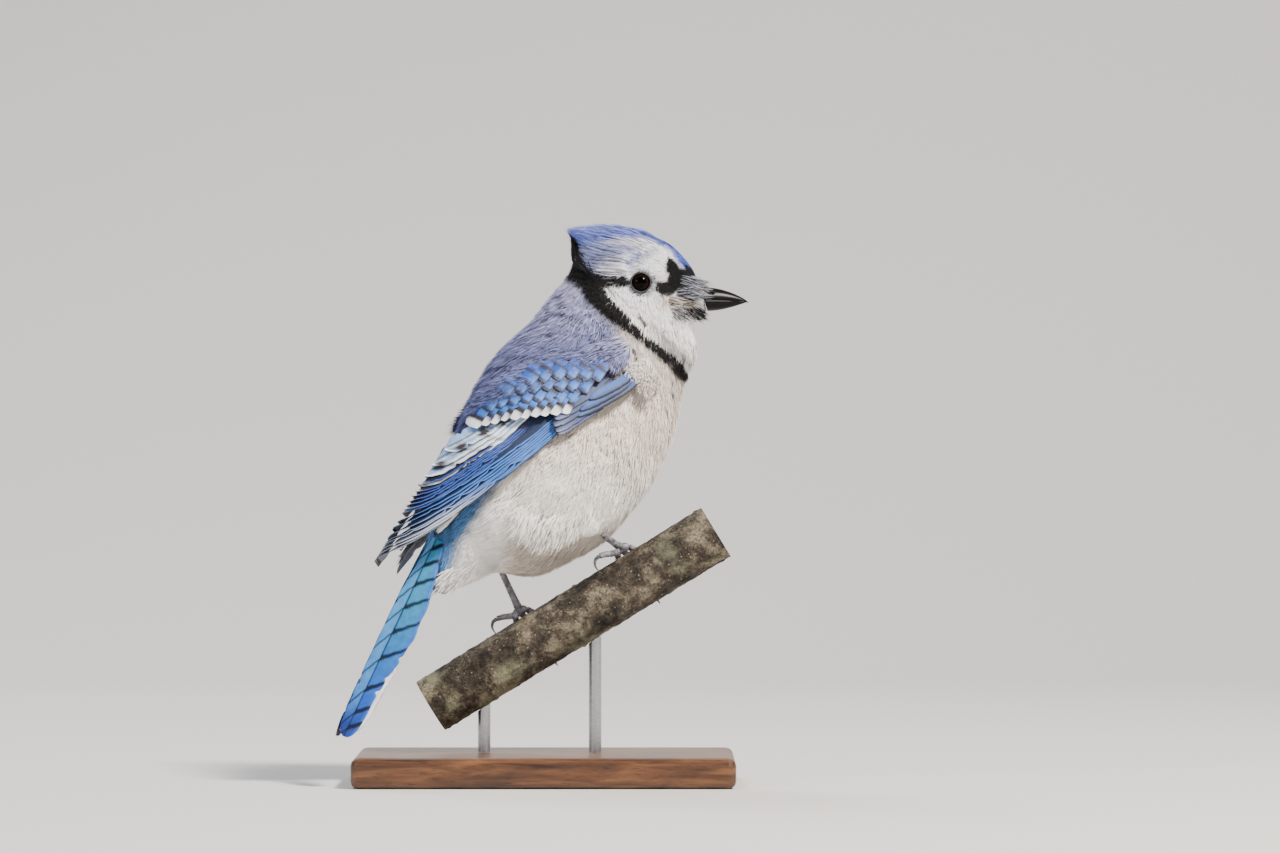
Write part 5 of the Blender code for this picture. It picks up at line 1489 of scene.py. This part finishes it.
def walnut_material():
    """Oiled walnut, planed and sanded: long dark grain lines with a soft satin gloss."""
    material, tree, shader = new_finish(
        "oiled_walnut", Roughness=0.38, IOR=1.5, Coat_Weight=0.15, Coat_Roughness=0.25,
    )
    place = add(tree, "TexCoord").outputs["Object"]
    long = add(tree, "Mapping", {"Scale": (0.12, 1.0, 1.0)}, {"Vector": place})
    # Grain lines 4 mm apart; pores 0.7 mm apart, coarser than real ones so that they show
    grain = add(tree, "TexNoise",
                {"Scale": 1 / (3.846 * MM), "Detail": 7.0, "Roughness": 0.6, "Distortion": 0.6},
                {"Vector": long.outputs["Vector"]})
    pores = add(tree, "TexNoise", {"Scale": 1 / (0.6667 * MM), "Detail": 2.0},
                {"Vector": long.outputs["Vector"]})
    tint = add(tree, "ValToRGB", {}, {"Fac": grain.outputs["Fac"]},
               (0.3, linear("#2E1A0F")), (0.5, linear("#5A3820")), (0.7, linear("#7C5232")))
    dark = add(tree, "ValToRGB", {}, {"Fac": pores.outputs["Fac"]}, (0.33, grey(0.55)), (0.42, grey(1.0)))
    tinted = add(tree, "Mix", {"Factor": 1.0},
                 {"A": tint.outputs["Color"], "B": dark.outputs["Color"]}, **MULTIPLY)
    tree.links.new(tinted.outputs["Result"], shader.inputs["Base Color"])
    bump = add(tree, "Bump", {"Strength": 0.12, "Distance": 0.1 * MM}, {"Height": pores.outputs["Fac"]})
    tree.links.new(bump.outputs["Normal"], shader.inputs["Normal"])
    return material


def steel_material():
    """Brushed stainless rods: fine lines round them that stretch the highlights."""
    material, tree, shader = new_finish("brushed_stainless", Metallic=1.0, Roughness=0.3)
    place = add(tree, "TexCoord").outputs["Object"]
    lines = add(tree, "Mapping", {"Scale": (1.0, 1.0, 14.0)}, {"Vector": place})
    # Brushed lines 0.2 mm apart and 2.5 mm long, coarser than real ones so that they show
    brush = add(tree, "TexNoise", {"Scale": 1 / (2.5 * MM), "Detail": 3.0},
                {"Vector": lines.outputs["Vector"]})
    tint = add(tree, "ValToRGB", {}, {"Fac": brush.outputs["Fac"]},
               (0.3, linear("#A6A8AA")), (0.7, linear("#CFD0D1")))
    tree.links.new(tint.outputs["Color"], shader.inputs["Base Color"])
    bump = add(tree, "Bump", {"Strength": 0.1, "Distance": 0.05 * MM}, {"Height": brush.outputs["Fac"]})
    tree.links.new(bump.outputs["Normal"], shader.inputs["Normal"])
    return material


# Coat

# Length of the coat's feathers by station, in mm
FEATHER_AT = [0, 1.5, 4, 6, 8, 10, 13, 16, 21]
FEATHER_LENGTH = [2.2, 2.8, 3.8, 5.0, 7.0, 9.0, 11.0, 12.5, 11.0]


def scattered(rng, surface, count, u_range, v_range, weight, surplus=6):
    """Roots spread evenly over part of a surface, by weight."""
    tries = int(count * surplus)
    u = rng.uniform(*u_range, tries)
    v = rng.uniform(*v_range, tries)
    _, _, per_u, per_v = frames(surface, u, v, 0.0)
    chance = per_u * per_v * weight(u, v)
    picked = rng.random(tries) < chance / np.quantile(chance, 0.98)
    u, v = u[picked][:count], v[picked][:count]
    return u, v


def evenly(u, v):
    return np.ones_like(u)


def either_side(rng, angle):
    """Angles round the body, half of them moved to the bird's left side by chance."""
    return angle * np.where(rng.random(len(angle)) < 0.5, 1, -1)


def body_coat(name, slot, seed, count, barbs, u_range, v_range, barb_mm):
    """One stretch of the coat, from station to station and from the back down to an angle."""
    rng = np.random.default_rng(seed)
    u, v = scattered(rng, body_surface, count, u_range, v_range, evenly)
    v = either_side(rng, v)
    length = np.interp(u, FEATHER_AT, FEATHER_LENGTH) * MM * rng.uniform(0.85, 1.15, len(u))
    depth = skin_depth(u) * rng.uniform(0.8, 1.15, len(u))
    part = feather_barbs(
        rng, body_surface, u, v, length, 0.62 * length, depth, barbs,
        np.full(len(u), barb_mm * MM), rng.normal(0, 0.12, len(u)), body_marks, body_patch,
    )
    dress(coat_object(name, [part], in_the_open), SOFT, slot)


# Part of a wing that hides the coat beneath it, as mm along it and up to its upper edge
HIDDEN_ALONG = (22, 36, 60, 92)
HIDDEN_UP = (11, 15, 19, 14)
HIDDEN_FROM = 4.5
FLANK_FROM = 9 * MM  # distance from the body's middle plane where the wings lie


def in_the_open(path):
    """Barbs that stay off the eyes and don't lie wholly under a wing."""
    middle = path[:, 1] / MM
    from_middle = path[:, 1, 1] - body_y(path[:, 1, 0])
    left = from_middle > 0
    share = np.where(left, FAR_WING_SHARE, 1.0)
    dx, dz = middle[:, 0] - BEND[0], middle[:, 2] - BEND[1]
    along = (dx * WING_RUN[0] + dz * WING_RUN[1]) / wing_stretch(share)
    up = (dx * WING_RUN[1] - dz * WING_RUN[0] + np.where(left, FAR_WING_DROP, 0.0)) / share
    covered = (along > HIDDEN_ALONG[0]) & (along < HIDDEN_ALONG[-1])
    covered &= (up > HIDDEN_FROM) & (up < np.interp(along, HIDDEN_ALONG, HIDDEN_UP))
    return clear_of_eyes(path) & ~(covered & (np.abs(from_middle) > FLANK_FROM))


def build_fringe():
    """Long loose flank feathers that hang over the belly in front of the thigh."""
    rng = np.random.default_rng(19)
    parts = []
    for side in (1, -1):
        count = 190
        share = rng.random(count)
        x = np.interp(share, (0, 0.35, 1), (-9.5, 1.0, 19.0)) + rng.normal(0, 1.2, count)
        z = np.interp(share, (0, 0.35, 1), (106.0, 99.0, 106.5)) + rng.uniform(-1.5, 7.0, count)
        place, out = roots_on(BODY_ROWS, x, z, side)
        place = place - out * 1.6 * MM
        for _ in range(6):
            direction = square_to(strewn(rng, (-0.62, 0.0, -0.78), 0.16, count), out)
            root = place + rng.normal(0, 0.7, (count, 3)) * MM
            colour = mix(plain(VENT, (count,)), BELLY, rng.random(count))
            colour = colour * rng.normal(1.0, 0.08, count)[:, None]
            patch = [0.8 + 0.1 * share, 0.25 + 0.25 * (side < 0) + 0.1 * rng.random(count)]
            length, rise, width = lengths_mm(rng, count, (6.0, 10.5), (1.8, 3.6), (0.3, 0.5))
            parts.append(free_barbs(root, direction, out, length, rise, width, colour, patch))
        count = 420
        x = rng.uniform(-38.5, -22.0, count)
        z = np.interp(x, (-38.5, -22.0), (78.0, 85.5)) + rng.uniform(0.0, 7.0, count)
        place, out = roots_on(BODY_ROWS, x, z, side)
        direction = square_to(strewn(rng, (-0.80, 0.0, -0.58), 0.12, count), out)
        colour = plain(VENT, (count,)) * rng.normal(0.98, 0.06, count)[:, None]
        patch = [0.86 + 0.1 * rng.random(count), 0.3 + 0.25 * (side < 0) + 0.1 * rng.random(count)]
        length, rise, width = lengths_mm(rng, count, (5.0, 8.5), (0.8, 2.0), (0.3, 0.5))
        parts.append(free_barbs(place - out * 1.2 * MM, direction, out, length, rise, width, colour, patch))
    dress(coat_object("flank_fringe", parts), SOFT, "body_feathers")


def build_coat():
    body_coat("coat_face", "head_feathers", 11, 2500, 7, (0.0, 4.2), (0.0, np.pi), 0.30)
    body_coat("coat_hindhead", "head_feathers", 12, 1750, 8, (4.0, 8.4), (0.0, np.pi), 0.39)
    body_coat("coat_neck", "mantle_feathers", 13, 1500, 9, (8.0, 10.6), (0.0, np.pi), 0.47)
    body_coat("coat_mantle", "mantle_feathers", 14, 1400, 10, (10.2, 16.6), (0.0, 1.5), 0.52)
    body_coat("coat_breast", "body_feathers", 15, 1500, 9, (10.2, 13.4), (1.4, np.pi), 0.55)
    body_coat("coat_belly", "body_feathers", 16, 1500, 10, (13.0, 16.8), (1.4, np.pi), 0.52)
    body_coat("coat_rump", "body_feathers", 17, 1200, 10, (16.2, 20.6), (0.0, np.pi), 0.50)
    rng = np.random.default_rng(18)
    parts = []
    for foot in THIGHS:
        surface = thigh_surface(foot)
        u, v = scattered(rng, surface, 420, (0.25, 0.86), (0.0, 2 * np.pi), evenly)
        length = rng.uniform(5.0, 7.0, len(u)) * MM
        offset = 0.35 if foot == "left" else 0.7
        parts.append(feather_barbs(
            rng, surface, u, v, length * 0.8, 0.55 * length, np.full(len(u), 1.7 * MM), 8,
            np.full(len(u), 0.5 * MM), rng.normal(0, 0.15, len(u)),
            lambda a, b: plain(VENT, a.shape),
            lambda a, b, o=offset: np.stack([0.3 * a + o * 0.9, 0.02 + 0.04 * ((b / 6.2832) % 1)], -1),
        ))
    dress(coat_object("coat_thighs", parts), SOFT, "body_feathers")


def strewn(rng, way, stray, count):
    """Directions about one way, each turned a little by chance."""
    return np.tile(way, (count, 1)) + rng.normal(0, stray, (count, 3))


def square_to(first, second):
    """The first directions turned square to the second ones, as unit vectors."""
    left = first - second * np.sum(second * first, axis=1)[:, None]
    return left / np.linalg.norm(left, axis=1)[:, None]


def lengths_mm(rng, count, *ranges):
    """Lengths drawn evenly from ranges given in mm."""
    return [rng.uniform(low, high, count) * MM for low, high in ranges]


def free_barbs(root, direction, out, length, rise, width, colour, patch):
    """Barbs that stand free, each along its own direction."""
    path = np.stack([
        root, root + direction * (0.55 * length)[:, None] + out * (0.75 * rise)[:, None],
        root + direction * length[:, None] + out * rise[:, None],
    ], 1)
    shades = np.repeat(np.clip(colour, 0, 1)[:, None], 3, axis=1)
    return path, np.repeat(out[:, None], 3, axis=1), width, shades, np.stack(patch, -1)


# Top line of the crest, and the line that its tips end on at the back, as x and z in mm
CREST_TOP_X = (6.6, 14.0, 21.7, 30.0, 37.6, 45.0, 50.0)
CREST_TOP_Z = (219.4, 220.6, 221.2, 220.5, 218.6, 215.2, 212.0)
CREST_END_Z = (202.0, 206.0, 210.0, 213.5, 216.5, 218.5, 220.0)
CREST_END_X = (9.0, 10.5, 13.0, 12.5, 10.0, 7.0, 8.0)
CREST_REACH_AT = (10, 20, 30, 36, 44, 52)
CREST_REACH = (5, 13, 20, 16, 9, 5)


def build_crest():
    """Long crown feathers swept back to a peak, over the shorter ones."""
    rng = np.random.default_rng(21)
    u, v = scattered(rng, body_surface, 7600, (2.4, 7.6), (-1.4, 1.4), evenly)
    root, out, _, _ = frames(body_surface, u, v, 0.3 * MM)
    count = len(u)
    x, z = root[:, 0] / MM, root[:, 2] / MM
    layer = rng.random(count)
    reach = np.interp(x, CREST_REACH_AT, CREST_REACH) * rng.uniform(0.65, 1.15, count)
    ridge = np.interp(x, STATIONS[NECK_AT:0:-1, 0], STATIONS[NECK_AT:0:-1, 1])
    on_top = np.cos(v * 0.95) ** 0.8 * (0.25 + 0.75 * layer ** 0.6)
    tip_z = z + on_top * (np.interp(x - reach, CREST_TOP_X, CREST_TOP_Z) - ridge + 1.0)
    end_x = np.interp(tip_z, CREST_END_Z, CREST_END_X) + rng.exponential(1.6, count)
    tip_x = np.minimum(np.maximum(x - reach, end_x), x - 2.5)
    tip_z = z + on_top * (np.interp(tip_x, CREST_TOP_X, CREST_TOP_Z) - ridge + 1.0)
    tip_z = tip_z + rng.normal(0, 0.25, count)
    drawn_in = 1 - 0.7 * np.clip((x - tip_x) / 20, 0, 1) * np.clip((24 - tip_x) / 14, 0, 1)
    tip_y = head_y(tip_x * MM) + (root[:, 1] - head_y(root[:, 0])) * drawn_in
    tip = np.stack([tip_x * MM, tip_y, tip_z * MM], -1)
    bend = root + 0.55 * (tip - root) + out * (0.25 + 0.04 * (x - tip_x))[:, None] * MM
    direction = (tip - root) / np.linalg.norm(tip - root, axis=1)[:, None]
    flat = square_to(out, direction)
    tone = rng.normal(1, 0.12, count) * np.where(rng.random(count) < 0.16, 1.5, 1.0)
    tone = tone * np.where(rng.random(count) < 0.24, 0.5, 1.0)
    # Painted highlight: the upper feathers at the top of the crest are paler, where the light falls on them
    rim = np.clip((z - 213.5) / 4, 0, 1) * layer ** 2
    colour = mix(body_marks(u, v), CREST_HIGHLIGHT, 0.4 * rim) * tone[:, None]
    width = rng.uniform(0.32, 0.55, count) * MM
    part = (
        np.stack([root, bend, tip], 1), np.repeat(flat[:, None], 3, axis=1), width,
        np.repeat(np.clip(colour, 0, 1)[:, None], 3, axis=1), body_patch(u, v),
    )
    dress(coat_object("crest", [part], clear_of_eyes), SOFT, "head_feathers")


def build_bands():
    """Short black feathers laid over the coat in the nape, necklace, lore and eye stripe, for sharp edges."""
    rng = np.random.default_rng(24)

    def black_share(s, angle):
        x, z = side_view(s, angle)
        found = [cover(mark, x, z, BAND_EDGE)[..., 0] for mark, _, _ in BAND_MARKS]
        return np.max(found, axis=0) ** 2 + 1e-6

    u, v = scattered(rng, body_surface, 2200, (0.8, 10.6), (0.02, np.pi), black_share, surplus=40)
    kept = black_share(u, v) > 0.3
    u, v = u[kept], either_side(rng, v[kept])
    length = np.interp(u, (0, 4, 7, 10.6), (1.5, 2.2, 3.4, 4.0)) * MM * rng.uniform(0.85, 1.15, len(u))
    depth = skin_depth(u) * rng.uniform(1.0, 1.2, len(u)) + 0.15 * MM
    part = feather_barbs(
        rng, body_surface, u - 0.5 * length / (6 * MM), v, length, 0.7 * length, depth, 4,
        np.interp(u, (0, 5, 10), (0.38, 0.46, 0.56)) * MM, rng.normal(0, 0.1, len(u)),
        lambda a, b: plain(BLACK, a.shape), body_patch,
    )
    dress(coat_object("black_bands", [part], in_the_open), SOFT, "head_feathers")


def build_bristles():
    """Nasal bristles over the base of the bill and rictal ones at its corners and chin."""
    rng = np.random.default_rng(22)
    parts = []
    for side in (1, -1):
        for count, x_range, z_range, lengths, lean, lift, shades in (
            (260, (52.5, 59.5), (194.5, 200.8), (5.0, 9.0), (1.0, 0.0, -0.34), 0.8,
             ("#8D919D", "#24262C", "#D5D8E0", "#3A3D46", "#A9ADB8")),
            (240, (51.5, 59.5), (191.5, 196.0), (5.0, 8.5), (1.0, 0.0, 0.02), 0.8,
             ("#7B7F8A", "#1C1D22", "#BFC2CB", "#15161A")),
            (150, (48.5, 57.5), (188.0, 192.5), (3.0, 5.5), (0.95, 0.0, -0.18), 0.6,
             ("#C8BBA9", "#8A8178", "#E6E2DC", "#4A4642")),
            (170, (50.0, 58.0), (183.5, 190.0), (2.5, 5.0), (0.75, 0.0, -0.6), 0.9,
             ("#08080A", "#1A1A1E", "#08080A", "#D8D8DC", "#9A9BA2")),
            (60, (56.0, 61.5), (184.5, 188.5), (3.5, 6.5), (0.85, 0.0, -0.5), 0.9, ("#08080A", "#121216")),
        ):
            x = rng.uniform(*x_range, count)
            z = rng.uniform(*z_range, count)
            place, out = roots_on(HEAD_ROWS, x, z, side)
            root = place - 0.6 * MM * out
            direction = strewn(rng, lean, 0.11, count)
            direction[:, 1] += 0.12 * out[:, 1]
            direction /= np.linalg.norm(direction, axis=1)[:, None]
            palette = np.array([linear(code) for code in shades])
            colour = palette[rng.integers(0, len(shades), count)]
            length = rng.uniform(*lengths, count) * MM
            patch = [0.02 + 0.05 * rng.random(count), 0.25 * (side < 0) + 0.3 + 0.15 * rng.random(count)]
            rise, width = lengths_mm(rng, count, (0.4, 1.0), (0.16, 0.3))
            parts.append(free_barbs(
                root, direction, square_to(out, direction), length, rise * lift, width, colour, patch,
            ))
    dress(coat_object("bristles", parts, clear_of_eyes), SOFT, "head_feathers")


def build_lid_feathers():
    """Rows of tiny pale feathers round each eye."""
    rng = np.random.default_rng(23)
    parts = []
    for side, (place, out) in zip((1, -1), EYES.values()):
        count = 420
        facing = np.array(Vector(out).to_track_quat("Z", "Y").to_matrix())
        turn = rng.uniform(0, 2 * np.pi, count)
        spread = rng.uniform(4.15, 5.3, count) * MM
        ring = np.stack([np.cos(turn), np.sin(turn), 0 * turn], -1) @ facing.T
        root = place + ring * spread[:, None] - out * (0.75 + 90 * (spread[:, None] - 4.15 * MM)) * MM
        direction = ring + 0.9 * np.array([-1.0, 0.0, 0.0]) * (ring[:, :1] < 0.4)
        direction -= out * np.sum(direction * out, axis=1)[:, None] * 0.85
        direction /= np.linalg.norm(direction, axis=1)[:, None]
        pale = np.where(rng.random(count)[:, None] < 0.75, linear("#C9CCD6"), linear("#5A5D66"))
        outs = np.tile(out, (count, 1))
        patch = [0.2 + 0.05 * rng.random(count), 0.5 - 0.15 * side + 0.05 * rng.random(count)]
        length, rise = lengths_mm(rng, count, (0.9, 1.6), (0.1, 0.35))
        width = np.full(count, 0.2 * MM)
        parts.append(free_barbs(root, direction, outs, length, rise, width, pale, patch))
    dress(coat_object("lid_feathers", parts), SOFT, "head_feathers")


# Upper limit of the wing's coverts in mm, by mm along the wing
SCAPULAR_AT = (2, 17.4, 26.5, 35.0, 41.0, 54.0, 62.0, 70.0)
SCAPULAR_EDGE = (12.0, 16.0, 19.5, 22.0, 24.5, 27.0, 27.5, 27.5)


def unbroken(path):
    """Barbs that run on evenly, without a leap where the side of the body turns away."""
    return np.linalg.norm(np.diff(path, axis=1), axis=2).max(axis=1) < 7.5 * MM


def build_scapulars(bed, side, share, drop, name):
    """Mantle feathers that fall over the top of the wing, and breast feathers over its bend."""
    rng = np.random.default_rng(40 + side)

    def surface(u, v, lift=0.0):
        along, up = u / MM * wing_stretch(share), v / MM * share - drop
        return bed_point(bed, along, up, np.asarray(lift + 0 * u) / MM)[0]

    def tint(u, v):
        base = mix(plain(MANTLE, u.shape), MANTLE_PALE, 0.5 * np.clip((22 - u / MM) / 22, 0, 1))
        base = mix(base, VENT, 0.8 * np.clip((7 - u / MM) / 7, 0, 1))
        return mix(base, MANTLE_DARK, 0.75 * np.clip((u / MM - 36) / 36, 0, 1))

    def front_tint(u, v):
        pale = mix(plain(BREAST_TOP, u.shape), VENT, 0.5 * np.clip((v / MM + 2) / 8, 0, 1))
        return mix(pale, MANTLE_PALE, np.clip((u / MM - 6) / 5, 0, 1) * np.clip((v / MM - 4) / 5, 0, 1))

    parts = []
    count = 620
    along = rng.uniform(2, 62, count)
    edge = np.interp(along, SCAPULAR_AT, SCAPULAR_EDGE)
    over = rng.uniform(-0.5, 6.5, count)
    up = np.minimum(edge + over, np.interp(along, (30, 45, 62), (31, 29, 26)))
    length = rng.uniform(8, 12, count) * MM
    height = np.interp(over, (-0.5, 2, 6.5), (5.6, 4.6, 1.6)) * rng.uniform(0.9, 1.05, count)
    for u, v, long, high, colour_of in (
        (along * MM, up * MM, length, height * MM, tint),
        (rng.uniform(-1.0, 6.5, 240) * MM, rng.uniform(-4, 6.5, 240) * MM, rng.uniform(5, 8, 240) * MM,
         rng.uniform(2.2, 4.1, 240) * MM, front_tint),
    ):
        part = feather_barbs(
            rng, surface, u, v, long, 0.6 * long, high, 9,
            np.full(len(u), 0.52 * MM), rng.normal(-0.22, 0.1, len(u)), colour_of,
            lambda a, b: np.stack([0.3 + 2.5 * a, 0.25 - side * 0.12 + 2.0 * b], -1),
        )
        parts.append(part)
    dress(coat_object(name, parts, unbroken), SOFT, "mantle_feathers")


# Studio


# Each light's name, place and size in metres, watts and colour
LIGHTS = (
    ("key", (1.10, -1.05, 1.75), 0.35, 118.0, "#FFF6EA"),
    ("fill", (-1.8, -1.3, 0.9), 0.6, 15.0, "#E8EEFF"),
    ("rim", (-0.5, 1.1, 1.3), 0.6, 18.0, "#F4F6FF"),
)
LIGHTS_AIM = (0.0, 0.0, 0.14)
ROOM_LIGHT = 0.46
CAMERA_AT = (37.55 * MM, -2.81, 140.9 * MM)
CAMERA_LENS = 200  # mm
CAMERA_FRAME = 36  # mm


def build_studio():
    bend = np.linspace(0, math.pi / 2, 40)
    profile = [(1.1 + 0.9 * math.sin(a), 0.9 - 0.9 * math.cos(a)) for a in bend]
    profile = [(-3.2, 0.0), *profile, (2.0, 4.0)]
    verts = [(x, y, z) for y, z in profile for x in (-3.0, 3.0)]
    tris = []
    for i in range(len(profile) - 1):
        a = 2 * i
        tris += [(a, a + 1, a + 3), (a, a + 3, a + 2)]
    floor = mesh_object("studio_sweep", np.array(verts), np.array(tris))
    material, tree, shader = new_finish("matt_paper", Roughness=0.92, Base_Color=(*linear("#D2D0CC"), 1.0))
    place = add(tree, "TexCoord").outputs["Object"]
    # Tooth of the paper, 1.4 mm across, coarser than the real one so that it shows
    tooth = add(tree, "TexNoise", {"Scale": 1 / (1.4286 * MM)}, {"Vector": place})
    bump = add(tree, "Bump", {"Strength": 0.05, "Distance": 0.1 * MM}, {"Height": tooth.outputs["Fac"]})
    tree.links.new(bump.outputs["Normal"], shader.inputs["Normal"])
    floor.data.materials.append(material)
    world = bpy.data.worlds.new("soft_room")
    world.use_nodes = True
    sky = world.node_tree.nodes["Background"]
    sky.inputs["Color"].default_value = (*linear("#DDE3EE"), 1.0)
    sky.inputs["Strength"].default_value = ROOM_LIGHT
    bpy.context.scene.world = world
    aim = Vector(LIGHTS_AIM)
    for name, spot, size, power, tint in LIGHTS:
        light = bpy.data.lights.new(name, "AREA")
        light.size = size
        light.energy = power
        light.color = tuple(linear(tint))
        lamp = bpy.data.objects.new(name, light)
        lamp.location = spot
        lamp.rotation_mode = "QUATERNION"
        lamp.rotation_quaternion = (aim - Vector(spot)).to_track_quat("-Z", "Y")
        bpy.context.scene.collection.objects.link(lamp)
    lens = bpy.data.cameras.new("camera")
    lens.lens = CAMERA_LENS
    lens.sensor_width = CAMERA_FRAME
    lens.clip_start, lens.clip_end = 0.05, 50
    camera = bpy.data.objects.new("camera", lens)
    camera.location = CAMERA_AT
    camera.rotation_euler = (math.pi / 2, 0, 0)
    bpy.context.scene.collection.objects.link(camera)
    bpy.context.scene.camera = camera


def finish_stand():
    walnut, steel = walnut_material(), steel_material()
    for node, material, slot in (
        ("stand_base", walnut, "walnut"),
        ("stand_rod_front", steel, "rod_steel"), ("stand_rod_rear", steel, "rod_steel"),
    ):
        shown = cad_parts[node]
        shown.data.materials.clear()
        shown.data.materials.append(material)


SOFT = plumage_material()
VANE = vane_material()
build_skin()
build_eyes()
build_bill()
build_feet()
build_perch()
finish_stand()
build_tail()
for wing, wing_side, wing_share, wing_drop, wing_sag in (
    ("right", 1, 1.0, 0.0, 0.0), ("left", -1, FAR_WING_SHARE, FAR_WING_DROP, FAR_WING_SAG),
):
    wing_ground = build_wing(f"wing_{wing}", wing_side, wing_share, wing_drop, wing_sag, 50 + wing_side)
    build_scapulars(wing_ground, wing_side, wing_share, wing_drop, f"scapulars_{wing}")
build_coat()
build_fringe()
build_crest()
build_bands()
build_bristles()
build_lid_feathers()
build_studio()
